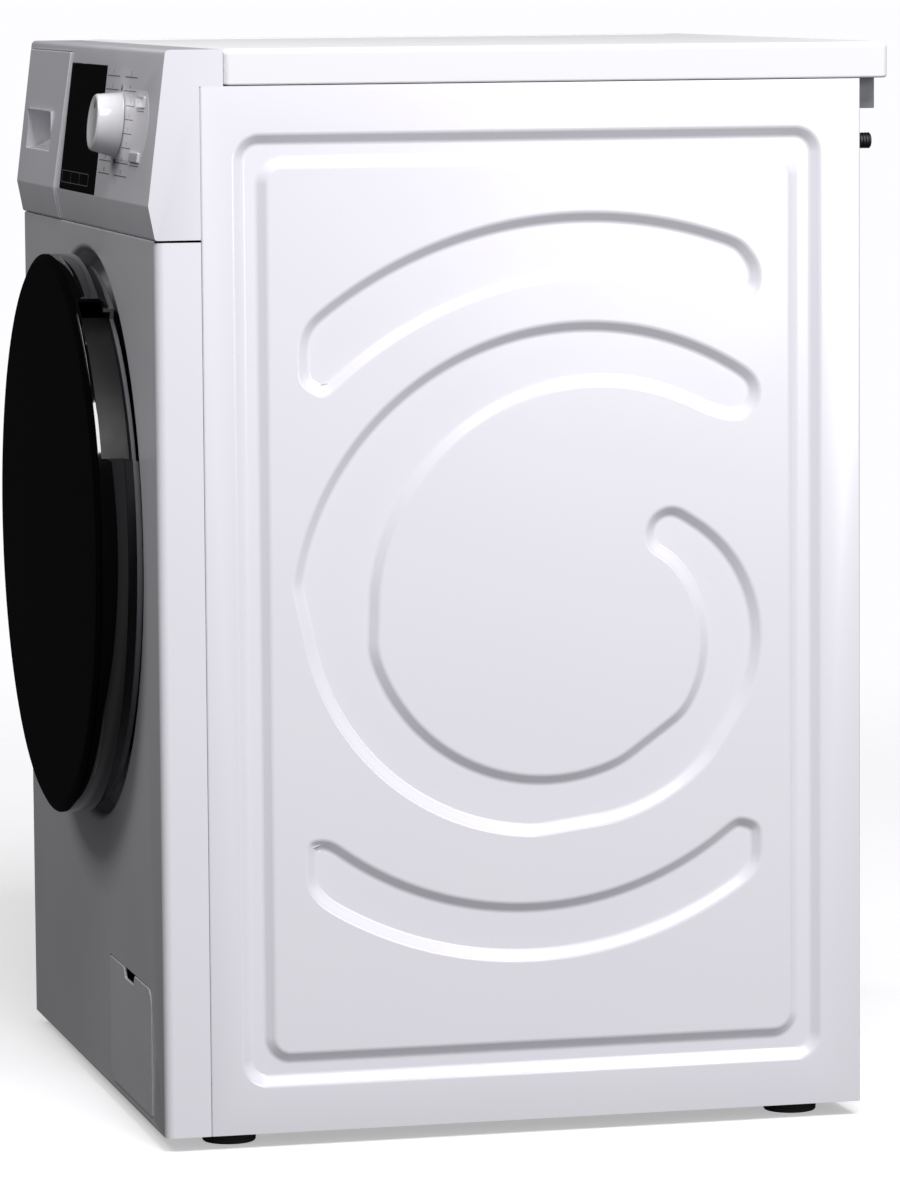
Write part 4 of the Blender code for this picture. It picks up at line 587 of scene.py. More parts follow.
def pull(bm: bmesh.types.BMesh, edges: list[bmesh.types.BMEdge]) -> tuple[list, list]:
    """Extrude edges in place and return the new vertices and edges."""
    pulled = bmesh.ops.extrude_edge_only(bm, edges=edges)["geom"]
    verts = [piece for piece in pulled if isinstance(piece, bmesh.types.BMVert)]
    known = set(verts)
    fresh = [piece for piece in pulled
             if isinstance(piece, bmesh.types.BMEdge) and all(vert in known for vert in piece.verts)]
    return verts, fresh


def pull_rings(bm: bmesh.types.BMesh, verts: Sequence[bmesh.types.BMVert], centre: Point2,
               rings: Sequence[Point2]) -> None:
    """Extrude a round loop through (radius, world Y) rings about an axis along Y."""
    edges = loop_edges(verts)
    for radius, depth in rings:
        fresh, edges = pull(bm, edges)
        for vert in fresh:
            spoke = Vector((vert.co.x - centre[0], 0, vert.co.z - centre[1])).normalized()
            vert.co = Vector((centre[0], 0, centre[1])) + spoke * radius + Vector((0, depth, 0))


def fold_edge(bm: bmesh.types.BMesh, edges: list[bmesh.types.BMEdge], inward: Vector, back: Vector,
              radius: float, length: float, steps: int = 4) -> None:
    """Bend an open straight edge of a sheet round a small radius and on into a flange.

    Args:
        bm: the mesh.
        edges: the open edges.
        inward: the direction in which the sheet ran on before the bend.
        back: the direction of the flange.
        radius: the bend's outer radius.
        length: the flange's length past the bend.
        steps: facets of the bend.
    """
    last = Vector((0, 0, 0))
    for index in range(1, steps + 1):
        turn = math.pi / 2 * index / steps
        spot = inward * (radius * math.sin(turn)) + back * (radius * (1 - math.cos(turn)))
        verts, edges = pull(bm, edges)
        bmesh.ops.translate(bm, vec=spot - last, verts=verts)
        last = spot
    if length > 0:
        verts, edges = pull(bm, edges)
        bmesh.ops.translate(bm, vec=back * length, verts=verts)


def open_edges(bm: bmesh.types.BMesh, axis: int, value: float) -> list[bmesh.types.BMEdge]:
    """Open edges that lie where a coordinate has one value."""
    return [edge for edge in bm.edges if edge.is_boundary
            and all(abs(vert.co[axis] - value) < 1e-6 for vert in edge.verts)]


def press(bm: bmesh.types.BMesh, faces: list[bmesh.types.BMFace], slope: float, depth: float) -> None:
    """Press a flat area down with soft creases at the top and the foot of its slope.

    Args:
        bm: the mesh.
        faces: the area.
        slope: width of the slope.
        depth: how far the area goes down.
    """
    shape = [(0.0, 0.0), (0.06, 0.0), (0.16, 0.035), (0.3, 0.16), (0.7, 0.84), (0.84, 0.965), (0.94, 1.0), (1.0, 1.0)]
    for (s0, d0), (s1, d1) in zip(shape, shape[1:]):
        bmesh.ops.inset_region(bm, faces=faces, thickness=(s1 - s0) * slope, depth=-(d1 - d0) * depth,
                               use_boundary=True, use_even_offset=True)


def eased(points: Sequence[Point2], spacing: float, reach: float) -> list[Point2]:
    """Resample a closed outline evenly and average it along its length, which rounds its corners.

    Args:
        points: the outline.
        spacing: distance between the new points.
        reach: how far along the outline the average runs.

    Returns:
        The eased outline.
    """
    ring = np.array(list(points) + [points[0]])
    lengths = np.concatenate([[0], np.cumsum(np.hypot(*np.diff(ring, axis=0).T))])
    count = int(lengths[-1] / spacing)
    spots = np.linspace(0, lengths[-1], count, endpoint=False)
    even = np.column_stack([np.interp(spots, lengths, ring[:, axis]) for axis in (0, 1)])
    steps = np.minimum(np.arange(count), count - np.arange(count)) * spacing
    weight = np.exp(-0.5 * (steps / reach) ** 2)
    weight /= weight.sum()
    spectrum = np.fft.fft(weight)[:, None]
    smooth = np.real(np.fft.ifft(np.fft.fft(even, axis=0) * spectrum, axis=0))
    return [tuple(point) for point in smooth]


def sheet_piece(name: str, bm: bmesh.types.BMesh, finish: Finish, body: Body, replaced: Sequence[str],
                thickness: float) -> bpy.types.Object:
    """Finish an open pressed sheet: give it its thickness and even out its shading.

    Args:
        name: the piece's name.
        bm: the open sheet, facing outwards; it is freed.
        finish: its finish.
        body: what it rides on.
        replaced: the nodes that it stands for.
        thickness: the sheet's thickness, behind its outward face.

    Returns:
        The piece.
    """
    item = place_piece(name, bm, finish, body, replaced, sharp_deg=50)
    solid = item.modifiers.new("sheet", "SOLIDIFY")
    solid.thickness = thickness
    solid.offset = -1
    solid.use_even_offset = True
    even = item.modifiers.new("shading", "WEIGHTED_NORMAL")
    even.mode = "FACE_AREA_WITH_ANGLE"
    even.weight = 70
    even.keep_sharp = True
    return item


def stacked(rings: Sequence[Sequence[tuple]]) -> bmesh.types.BMesh:
    """Bridge a stack of closed loops with equal counts into one closed mesh.

    Args:
        rings: the loops, from one end to the other.

    Returns:
        The mesh, facing outwards.
    """
    bm = bmesh.new()
    loops = [add_loop(bm, ring, tuple) for ring in rings]
    for first, second in zip(loops, loops[1:]):
        bmesh.ops.bridge_loops(bm, edges=loop_edges(first) + loop_edges(second))
    bmesh.ops.holes_fill(bm, edges=[edge for edge in bm.edges if edge.is_boundary], sides=0)
    bmesh.ops.recalc_face_normals(bm, faces=bm.faces)
    return bm


def joined(meshes: Iterable[bmesh.types.BMesh]) -> bmesh.types.BMesh:
    """Put several meshes into one; the others are freed."""
    result = bmesh.new()
    for bm in meshes:
        mesh = bpy.data.meshes.new("part")
        bm.to_mesh(mesh)
        bm.free()
        result.from_mesh(mesh)
        bpy.data.meshes.remove(mesh)
    return result


# ------------------------------------------------------------------ cabinet
@dataclass
class SidePanels:
    """The two pressed side sheets with their channel and three bands."""

    sheet: float = 1 * MM
    flange: float = 9 * MM
    bend: float = 1.6 * MM
    slope: float = 11 * MM
    depth: float = 5 * MM
    channel_width: float = 29 * MM
    margins: tuple[float, float, float] = (24 * MM, 31 * MM, 35 * MM)
    corner: float = 22 * MM
    field_mm: Point2 = (412.0, 682.0)

    def bands(self, low: Point2, high: Point2) -> list[list[Point2]]:
        """Outlines of the three bands, drawn in millimetres on the field and fitted to it.

        Args:
            low: the field's lowest corner, as depth and height.
            high: its highest corner.

        Returns:
            The top band, the bottom band and the long curled band.
        """
        top = arc((249.9, 300.4), 347.2, 130, 68.3, 48)
        top += [(392.7, 603), (392.7, 582)]
        top += arc((266.6, 272.8), 321.3, 69.3, 134.3, 48)
        top += [(20.5, 516), (20.5, 552)]
        bottom = arc((204, 362.6), 253.3, 230.8, 311.2, 48)
        bottom += [(392.7, 164), (392.7, 130)]
        bottom += arc((203.6, 368.1), 308.1, 305.8, 237, 48)
        bottom += [(23, 124), (23, 166)]
        curl = arc((249.1, 324.6), 238.3, 56, 171, 60) + arc((215.4, 353.7), 195.5, 189, 268, 40)
        curl += arc((235.2, 320.9), 158.1, 281, 318, 20) + arc((278.6, 310.8), 114, 325, 415, 40)
        curl += arc((318, 394), 23.3, 72, 224, 20)
        curl += arc((250.6, 308), 88.9, 45, -36, 30) + arc((217.3, 347.5), 138.3, 295, 196, 40)
        curl += arc((258.1, 336.1), 173.3, 173, 60, 40) + arc((369, 503), 23.3, -104, 36, 20)
        scale = ((high[0] - low[0]) / self.field_mm[0], (high[1] - low[1]) / self.field_mm[1])
        fitted = [[(low[0] + y * scale[0], low[1] + z * scale[1]) for y, z in band]
                  for band in (top, bottom, curl)]
        return [eased(band, 3 * MM, reach) for band, reach in zip(fitted, (7 * MM, 7 * MM, 5 * MM))]

    def build(self) -> None:
        """Build both sheets."""
        for side, node in ((1, "side_panel_right"), (-1, "side_panel_left")):
            self.build_one(side, node)

    def build_one(self, side: int, node: str) -> None:
        """Build one sheet.

        Args:
            side: 1 on the +X side, -1 on the other.
            node: the frame node that it stands for.
        """
        box_low, box_high = span(node)
        low = (box_low.y - FRONT_Y, box_low.z)
        high = (box_high.y - FRONT_Y, box_high.z)
        front, rear, level = self.margins
        channel_low = (low[0] + front, low[1] + level)
        channel_high = (high[0] - rear, high[1] - level)
        field_low = (channel_low[0] + self.channel_width, channel_low[1] + self.channel_width)
        field_high = (channel_high[0] - self.channel_width, channel_high[1] - self.channel_width)
        outward = Vector((side, 0, 0))

        def to_space(point: Point2) -> tuple:
            """A (depth, height) point on the sheet's face."""
            return (side * HALF, deep(point[0]), point[1])

        bm = bmesh.new()
        edge_low = (low[0] + self.bend, low[1])
        edge_high = (high[0] - self.bend, high[1])
        rim = add_loop(bm, rectangle(edge_low, edge_high, 0), to_space)
        channel = add_loop(bm, rectangle(channel_low, channel_high, self.corner, 14), to_space)
        field = add_loop(bm, rectangle(field_low, field_high, self.corner / 2, 10), to_space)
        bands = [add_loop(bm, points, to_space) for points in self.bands(field_low, field_high)]
        fill_between(bm, [rim, channel], outward)
        pressed = [fill_between(bm, [channel, field], outward)]
        fill_between(bm, [field] + bands, outward)
        pressed += [fill_between(bm, [band], outward) for band in bands]
        for faces in pressed:
            press(bm, faces, self.slope, self.depth)
        inward = Vector((-side, 0, 0))
        for value, along in ((edge_high[0], 1), (edge_low[0], -1)):
            fold_edge(bm, open_edges(bm, 1, deep(value)), Vector((0, along, 0)), inward, self.bend,
                      self.flange - self.bend)
        sheet_piece("side_sheet_" + ("right" if side > 0 else "left"), bm, ENAMELLED_STEEL, Body.CABINET,
                    [node], self.sheet)


@dataclass
class FrontSheet:
    """The front sheet with the door recess, the flap opening and its returns."""

    sheet: float = 1 * MM
    recess: float = 235 * MM
    roll: float = 6 * MM
    depth: float = 20.5 * MM
    opening: float = 180 * MM
    lip: float = 10 * MM
    edge: float = 7 * MM
    wrap: float = 35.7 * MM
    flap_gap: float = 1 * MM
    steps: int = 144

    def build(self) -> None:
        """Build the sheet."""
        flat = HALF - self.edge
        bend = 1.2 * MM
        outward = Vector((0, -1, 0))

        def to_space(point: Point2) -> tuple:
            """A point on the sheet's face."""
            return (point[0], FRONT_Y, point[1])

        bm = bmesh.new()
        top = FRONT_HIGH.z
        rim = add_loop(bm, rectangle((-flat, FRONT_LOW.z), (flat, top - bend), 0), to_space)
        recess = add_loop(bm, arc((0, AXIS_Z), self.recess, 0, 360, self.steps)[:-1], to_space)
        flap = add_loop(bm, ServiceFlap().outline(self.flap_gap, 10), to_space)
        fill_between(bm, [rim, recess, flap], outward)
        floor = self.recess - self.roll
        rings = [(self.recess - self.roll * math.sin(a), deep(self.roll * (1 - math.cos(a))))
                 for a in (math.radians(angle) for angle in (15, 30, 45, 60, 75, 90))]
        rings += [(floor - 0.5 * MM, deep(self.depth - 3 * MM)), (floor - 1.3 * MM, deep(self.depth - 1 * MM)),
                  (floor - 3.2 * MM, deep(self.depth)), (self.opening + 2.5 * MM, deep(self.depth)),
                  (self.opening + 0.7 * MM, deep(self.depth + 0.7 * MM)),
                  (self.opening, deep(self.depth + 2.5 * MM)), (self.opening, deep(self.depth + self.lip))]
        pull_rings(bm, recess, (0, AXIS_Z), rings)
        for side in (-1, 1):
            fold_edge(bm, open_edges(bm, 0, side * flat), Vector((side, 0, 0)), Vector((0, 1, 0)), self.edge,
                      self.wrap - self.edge, 8)
        self.fold_top(bm, top - bend, bend, flat)
        piece = sheet_piece("front_sheet", bm, ENAMELLED_STEEL, Body.CABINET, ["front_panel"], self.sheet)
        piece.data.materials[0] = ENAMELLED_STEEL.make()

    def fold_top(self, bm: bmesh.types.BMesh, height: float, bend: float, flat: float) -> None:
        """Turn the top edge in under the fascia.

        Args:
            bm: the sheet.
            height: where the bend starts.
            bend: its radius.
            flat: half the width that is turned in.
        """
        edges = [edge for edge in open_edges(bm, 2, height)
                 if all(abs(vert.co.x) < flat + 1e-6 and abs(vert.co.y - FRONT_Y) < 1e-6 for vert in edge.verts)]
        fold_edge(bm, edges, Vector((0, 0, 1)), Vector((0, 1, 0)), bend, 9 * MM)


@dataclass
class ServiceFlap:
    """The flap over the filter, with a finger notch in its top edge."""

    low: Point2 = (68 * MM, 18 * MM)
    high: Point2 = (244 * MM, 119 * MM)
    large: float = 13 * MM
    small: float = 3 * MM
    notch: tuple[float, float, float] = (152 * MM, 44 * MM, 8 * MM)
    thickness: float = 2.5 * MM
    proud: float = 0.5 * MM

    def outline(self, margin: float, steps: int, notched: bool = False) -> list[Point2]:
        """The flap's outline.

        Args:
            margin: how far it is grown.
            steps: points in each corner.
            notched: whether the finger notch is cut in.

        Returns:
            The outline, anticlockwise from the low left corner.
        """
        x0, z0 = self.low[0] - margin, self.low[1] - margin
        x1, z1 = self.high[0] + margin, self.high[1] + margin
        middle, width, drop = self.notch
        points = fillet((x0, z1), (x0, z0), (x1, z0), self.large, steps)
        points += fillet((x0, z0), (x1, z0), (x1, z1), self.small, steps)
        points += fillet((x1, z0), (x1, z1), (x0, z1), self.large, steps)
        if notched:
            dip = [(middle + width / 2 + 10 * MM, z1), (middle + width / 2, z1), (middle + width / 2 - 4 * MM, z1 - drop),
                   (middle - width / 2 + 4 * MM, z1 - drop), (middle - width / 2, z1), (middle - width / 2 - 10 * MM, z1)]
            points += soften(dip, 3 * MM, 5, closed=False)
        points += fillet((x1, z1), (x0, z1), (x0, z0), self.small, steps)
        return points

    def build(self) -> None:
        """Build the flap."""
        bm = slab(self.outline(0, 8, True), deep(-self.proud), deep(self.thickness - self.proud))
        place_piece("flap_cover", bm, WHITE_ABS, Body.FLAP, ["service_flap"], bevel=0.7 * MM)


@dataclass
class Worktop:
    """The laminated board over the machine, with a soft edge and a slightly sunken field."""

    edge: float = 4.5 * MM
    frame: float = 16 * MM
    step: float = 0.7 * MM

    def build(self) -> None:
        """Build the board."""
        low, high = span("worktop")
        corner, edge, under = 5 * MM, self.edge, 2 * MM
        steps = [(under, low.z), (0.6 * MM, low.z + 0.6 * MM), (0.0, low.z + under)]
        steps += [(edge * (1 - math.cos(a)), high.z - edge * (1 - math.sin(a)))
                  for a in (math.radians(15 * index) for index in range(7))]
        rim = self.frame
        steps += [(rim, high.z), (rim + 0.4 * MM, high.z - 0.15 * MM), (rim + 1.1 * MM, high.z - self.step + 0.15 * MM),
                  (rim + 1.5 * MM, high.z - self.step), (rim + 8 * MM, high.z - self.step)]
        rings = []
        for inset, z in steps:
            outline = rectangle((low.x + inset, low.y + inset), (high.x - inset, high.y - inset),
                                max(corner - inset * 0.4, 1 * MM), 6)
            rings.append([(x, y, z) for x, y in outline])
        item = place_piece("worktop_board", stacked(rings), WHITE_LAMINATE, Body.CABINET, ["worktop"], sharp_deg=60)
        even = item.modifiers.new("shading", "WEIGHTED_NORMAL")
        even.weight = 70


@dataclass
class CoverShape:
    """Sizes of the rear cover."""

    corner: float = 40 * MM
    inset: float = 12 * MM
    dome: float = 8 * MM


@dataclass
class Rear:
    """The rear sheet, its cover, the top rail, the fittings and their screws."""

    cover: CoverShape = field(default_factory=CoverShape)

    def build(self) -> None:
        """Build the rear."""
        self.build_cover()
        for node, name, finish in (("rear_panel", "rear_sheet", ENAMELLED_STEEL),
                                   ("rear_top_rail", "rear_rail", GREY_PP)):
            place_piece(name, merged_copy(node), finish, Body.CABINET, [node], bevel=0.5 * MM, steps=2)
        for node, name, finish in (("inlet_valve", "inlet_spout", WHITE_ABS), ("cable_gland", "cord_gland", CHARCOAL_ABS),
                                   ("drain_spigot", "drain_spout", GREY_PP)):
            self.build_spout(node, name, finish)
        self.build_screws()

    def build_cover(self) -> None:
        """The domed cover over the drum's pulley."""
        low, high = span("rear_cover")
        y = high.y - self.cover.dome
        outward = Vector((0, 1, 0))

        def to_space(point: Point2) -> tuple:
            """A point on the cover's flat rim."""
            return (point[0], y, point[1])

        inset = self.cover.inset
        bm = bmesh.new()
        rim = add_loop(bm, rectangle((low.x, low.z), (high.x, high.z), self.cover.corner, 12), to_space)
        shell = add_loop(bm, rectangle((low.x + inset, low.z + inset), (high.x - inset, high.z - inset),
                                       self.cover.corner - 10 * MM, 12), to_space)
        fill_between(bm, [rim, shell], outward)
        dome = fill_between(bm, [shell], outward)
        press(bm, dome, 14 * MM, -self.cover.dome)
        bmesh.ops.inset_region(bm, faces=dome, thickness=6 * MM, depth=0.0, use_even_offset=True)
        press(bm, dome, 4 * MM, 1.5 * MM)
        sheet_piece("rear_hatch", bm, ENAMELLED_STEEL, Body.CABINET, ["rear_cover"], 0.8 * MM)

    def build_spout(self, node: str, name: str, finish: Finish) -> None:
        """A fitting on the rear: a flange, a hollow spout and its thread or ribs.

        Args:
            node: the frame node.
            name: the piece's name.
            finish: its finish.
        """
        low, high = span(node)
        centre = Vector(((low.x + high.x) / 2, 0, (low.z + high.z) / 2))
        radius = (high.x - low.x) / 2
        head = radius * 0.66
        bore = head * 0.6
        y0, y1 = low.y, high.y
        face = BACK_Y + 4 * MM
        profile = [(0.0, y1 - 14 * MM), (bore, y1 - 14 * MM), (bore, y1 - 0.6 * MM), (bore + 0.6 * MM, y1),
                   (head - 0.8 * MM, y1)]
        turns = 5
        pitch = (y1 - face - 3 * MM) / turns
        for index in range(turns):
            start = y1 - 0.8 * MM - index * pitch
            profile += [(head, start), (head, start - pitch * 0.4), (head - 0.9 * MM, start - pitch * 0.6),
                        (head - 0.9 * MM, start - pitch * 0.85)]
        profile += [(head, face + 0.5 * MM), (radius - 0.8 * MM, face), (radius, face - 0.8 * MM), (radius, y0), (0.0, y0)]
        place_piece(name, spun(profile, centre, 48), finish, Body.CABINET, [node])

    def build_screws(self) -> None:
        """Pan-head screws round the cover and along the rear sheet's edges."""
        low, high = span("rear_cover")
        sheet_low, sheet_high = span("rear_panel")
        spots = [(x, z, self.seat(True)) for x in (low.x + 7 * MM, high.x - 7 * MM)
                 for z in np.linspace(low.z + 45 * MM, high.z - 45 * MM, 3)]
        spots += [(x, z, self.seat(True)) for x in (-95 * MM, 95 * MM) for z in (low.z + 6 * MM, high.z - 6 * MM)]
        spots += [(x, z, self.seat(False)) for x in (sheet_low.x + 8 * MM, sheet_high.x - 8 * MM)
                  for z in np.linspace(sheet_low.z + 40 * MM, sheet_high.z - 60 * MM, 5)]
        screws = []
        for x, z, y in spots:
            head = spun([(0.0, y + 1.5 * MM), (2.6 * MM, y + 1.5 * MM), (3.4 * MM, y + 1.0 * MM), (3.8 * MM, y),
                         (3.8 * MM, y - 0.4 * MM), (0.0, y - 0.4 * MM)], Vector((x, 0, z)), 20)
            slots = [box((x - 2.2 * MM, y + 0.8 * MM, z - 0.45 * MM), (x + 2.2 * MM, y + 3 * MM, z + 0.45 * MM)),
                     box((x - 0.45 * MM, y + 0.8 * MM, z - 2.2 * MM), (x + 0.45 * MM, y + 3 * MM, z + 2.2 * MM))]
            screws.append(carve(head, slots))
        place_piece("rear_screws", joined(screws), ZINC_STEEL, Body.CABINET)

    def seat(self, on_cover: bool) -> float:
        """World Y of the sheet that a screw's head sits on."""
        return span("rear_cover")[1].y - self.cover.dome if on_cover else BACK_Y


# ------------------------------------------------------------------ console
@dataclass
class Fascia:
    """The console: its shell, display, marks, knob and buttons."""

    fold_height: float = 26 * MM
    fold_reach: float = 5 * MM
    top_setback: float = 9.7 * MM
    wall: float = 2.5 * MM
    worktop_setback: float = 54.5 * MM
    wrap: float = 36 * MM
    side_top: float = 28.2 * MM
    gap: float = 0.3 * MM
    seam: float = 0.6 * MM
    display: tuple[float, float, float, float] = (-90 * MM, 69 * MM, 118.5 * MM, 16 * MM)
    knob: tuple[float, float] = (140 * MM, 61 * MM)
    drawer_margin: Point2 = (7.5 * MM, 7 * MM)
    seam_x: Point2 = (-115 * MM, -96 * MM)

    @property
    def fold_z(self) -> float:
        """Height of the fold in the face."""
        return CONSOLE_LOW.z + self.fold_height

    @property
    def tilt(self) -> float:
        """How far the upper face leans back."""
        return math.atan2(self.top_setback + self.fold_reach, CONSOLE_HIGH.z - self.fold_z)

    @property
    def face(self) -> Matrix:
        """Turns (along X, up the face, out of the face) into world places."""
        turn = Matrix.Rotation(math.pi / 2 - self.tilt, 4, "X")
        return Matrix.Translation((0, deep(-self.fold_reach), self.fold_z)) @ turn

    def up(self, drop: float) -> float:
        """Distance up the face for a drop below the machine's top."""
        return (TOP - drop - self.fold_z) / math.cos(self.tilt)

    def section(self, inset: float) -> list[Point2]:
        """The shell's side view as (world Y, Z), drawn in by an inset.

        Args:
            inset: 0 for the outside, the wall for the inside.

        Returns:
            The outline, with its front corners rounded.
        """
        back = self.worktop_setback - self.gap if inset == 0 else self.worktop_setback + 5 * MM
        step = self.wrap - self.gap if inset == 0 else back
        low = CONSOLE_LOW.z + inset
        corners = [(step, low), (inset, low), (inset - self.fold_reach, self.fold_z + inset * 0.1),
                   (self.top_setback + inset, CONSOLE_HIGH.z - inset), (back, CONSOLE_HIGH.z - inset),
                   (back, TOP - self.side_top - self.gap), (step, TOP - self.side_top - self.gap)]
        points = [corners[0]]
        radii = (0, 2.2 * MM, 5 * MM, 4 * MM, 1.5 * MM)
        for index in range(1, 5):
            points += fillet(corners[index - 1], corners[index], corners[index + 1], radii[index], 6)
        points += corners[5:]
        return [(deep(y), z) for y, z in points]

    def drawer_outline(self, margin: float) -> list[Point2]:
        """The drawer's front seen from the front, grown by a margin."""
        left = -HALF + self.drawer_margin[0] - margin
        top = CONSOLE_HIGH.z - self.drawer_margin[1] + margin
        bottom = CONSOLE_LOW.z - (20 * MM if margin > 0 else 0)

        def edge(z: float) -> float:
            """The slanted seam's X at a height."""
            share = (z - CONSOLE_LOW.z) / (TOP - CONSOLE_LOW.z)
            return self.seam_x[0] + share * (self.seam_x[1] - self.seam_x[0]) + margin

        return [(left, bottom), (edge(bottom), bottom), (edge(top), top), (left, top)]

    def on_face(self, bm: bmesh.types.BMesh) -> bmesh.types.BMesh:
        """Move a mesh drawn in the face's own directions onto it."""
        bmesh.ops.transform(bm, matrix=self.face, verts=bm.verts)
        return bm

    def build(self) -> None:
        """Build the shell and everything on it."""
        shell = slab(self.section(0), -HALF, HALF, "YZ")
        ends = [edge for edge in shell.edges if edge.verts[0].co.y < deep(12 * MM) and edge.verts[1].co.y < deep(12 * MM)
                and abs(abs(edge.verts[0].co.x) - HALF) < 1e-6 and abs(edge.verts[0].co.x - edge.verts[1].co.x) < 1e-6]
        bmesh.ops.bevel(shell, geom=ends, offset=2.2 * MM, segments=5, profile=0.5, affect="EDGES", material=-1,
                        clamp_overlap=True)
        hollow = slab(self.section(self.wall), -HALF + self.wall, HALF - self.wall, "YZ")
        drawer = slab(self.drawer_outline(self.seam), deep(-15 * MM), deep(15 * MM))
        left, right, low, high = self.display
        window = self.on_face(box((left - self.gap, self.up(low) - self.gap, -10 * MM),
                                  (right + self.gap, self.up(high) + self.gap, 10 * MM)))
        shaft = spun([(0.0, -8 * MM), (3.6 * MM, -8 * MM), (3.6 * MM, 8 * MM), (0.0, 8 * MM)], Vector((0, 0, 0)), 32, "Z")
        bmesh.ops.translate(shaft, vec=(self.knob[0], self.up(self.knob[1]), 0), verts=shaft.verts)
        tools = [hollow, drawer, window, self.on_face(shaft)]
        for _, x, drop, width, height in self.buttons():
            hole = box((x - width / 2 - 0.5 * MM, self.up(drop) - height / 2 - 0.5 * MM, -10 * MM),
                       (x + width / 2 + 0.5 * MM, self.up(drop) + height / 2 + 0.5 * MM, 10 * MM))
            tools.append(self.on_face(hole))
        shell = carve(shell, tools)
        place_piece("console_shell", shell, FASCIA_ABS, Body.CABINET, ["console"], bevel=0.35 * MM, steps=2,
                    sharp_deg=32)
        self.build_display()
        self.build_marks()
        self.build_knob()
        self.build_buttons()

    def buttons(self) -> list[tuple[str, float, float, float, float]]:
        """Name, X, drop, width and height of each push button."""
        return [("button_upper", 226 * MM, 41.5 * MM, 30 * MM, 9 * MM),
                ("button_lower", 223 * MM, 84 * MM, 36 * MM, 8 * MM)]

    def build_display(self) -> None:
        """The black window, with faint key outlines and clock segments under its gloss."""
        left, right, low, high = self.display
        y0, y1 = self.up(low), self.up(high)
        window = box((left, y0, -2.2 * MM), (right, y1, 0.2 * MM))
        place_piece("display_glass", self.on_face(window), PIANO_BLACK, Body.CABINET, ["display_window"],
                    bevel=0.25 * MM, steps=2)
        key_low, key_high = y0 + 5.5 * MM, y0 + 15.5 * MM
        x0, x1 = left + 8 * MM, right - 32 * MM
        line = 0.5 * MM
        bars = [(x0, key_low, x1, key_low + line), (x0, key_high - line, x1, key_high)]
        bars += [(x, key_low, x + line, key_high) for x in np.linspace(x0, x1 - line, 4)]
        keys = [box((a, b, 0.19 * MM), (c, d, 0.24 * MM)) for a, b, c, d in bars]
        place_piece("display_keys", self.on_face(joined(keys)), INK_GREY, Body.CABINET)
        digits = []
        for place in (0, 1, 2, 3):
            x = (left + right) / 2 + (place - 2) * 17 * MM + (2 * MM if place > 1 else 0)
            digits += self.digit(x, (y0 + y1) / 2 + 8 * MM)
        place_piece("display_segments", self.on_face(joined(digits)), SEGMENT_OFF, Body.CABINET)

    def digit(self, x: float, y: float) -> list[bmesh.types.BMesh]:
        """The seven unlit bars of one digit.

        Args:
            x: its left side.
            y: its middle, up the face.

        Returns:
            The bars.
        """
        width, height, thick = 11 * MM, 20 * MM, 1.6 * MM
        bars = [box((x + thick, y + level * height / 2 - thick / 2, 0.19 * MM),
                    (x + width - thick, y + level * height / 2 + thick / 2, 0.22 * MM)) for level in (-1, 0, 1)]
        for side in (x, x + width - thick):
            for start in (-height / 2 + thick, thick * 0.7):
                bars.append(box((side, y + start, 0.19 * MM), (side + thick, y + start + height / 2 - 1.7 * thick, 0.22 * MM)))
        return bars

    def build_marks(self) -> None:
        """The pale field, the lines of the programmes, their numbers and the two arrows."""
        knob_x, knob_y = self.knob[0], self.up(self.knob[1])
        centre = (235 * MM, self.up(60 * MM))
        half = 27.5 * MM
        field_outline = [(knob_x, centre[1] - half)] + arc(centre, 28 * MM, -79, 79, 24) + [(knob_x, centre[1] + half)]
        pale = slab(field_outline, 0.0, 0.12 * MM, "XY")
        place_piece("pale_field", self.on_face(pale), PALE_FIELD, Body.CABINET)
        rows = [(73, 126, 23.3), (149, 200, 23.3), (73, 126, 34), (149, 200, 34), (165, 200, 45.5), (165, 200, 56.1),
                (165, 200, 67), (165, 200, 78), (76, 124, 90), (143, 197, 90), (76, 124, 100), (143, 197, 100)]
        lines = []
        numbers = []
        for index, (x0, x1, drop) in enumerate(rows):
            y = self.up(drop * MM)
            lines.append(box((x0 * MM, y - 0.35 * MM, 0.0), (x1 * MM, y + 0.35 * MM, 0.16 * MM)))
            numbers.append(self.number(str(index + 1), (x0 + x1) / 2 * MM, y + 1.6 * MM, 4.6 * MM))
        for _, x, drop, width, height in self.buttons():
            y = self.up(drop) - height / 2 - 2.6 * MM
            lines.append(box((x - width / 2, y - 0.3 * MM, 0.0), (x + width / 2, y + 0.3 * MM, 0.16 * MM)))
        place_piece("programme_lines", self.on_face(joined(lines)), INK_GREY, Body.CABINET)
        place_piece("programme_numbers", self.on_face(joined(numbers)), INK_GREY, Body.CABINET)
        arrows = []
        for y, way in ((knob_y + 29 * MM, 1), (knob_y - 29 * MM, -1)):
            tip = [(knob_x - 3.4 * MM, y - way * 2 * MM), (knob_x + 3.4 * MM, y - way * 2 * MM), (knob_x, y + way * 3 * MM)]
            arrows.append(slab(tip if way > 0 else tip[::-1], 0.0, 0.2 * MM, "XY"))
        place_piece("knob_arrows", self.on_face(joined(arrows)), INK_DARK, Body.CABINET)

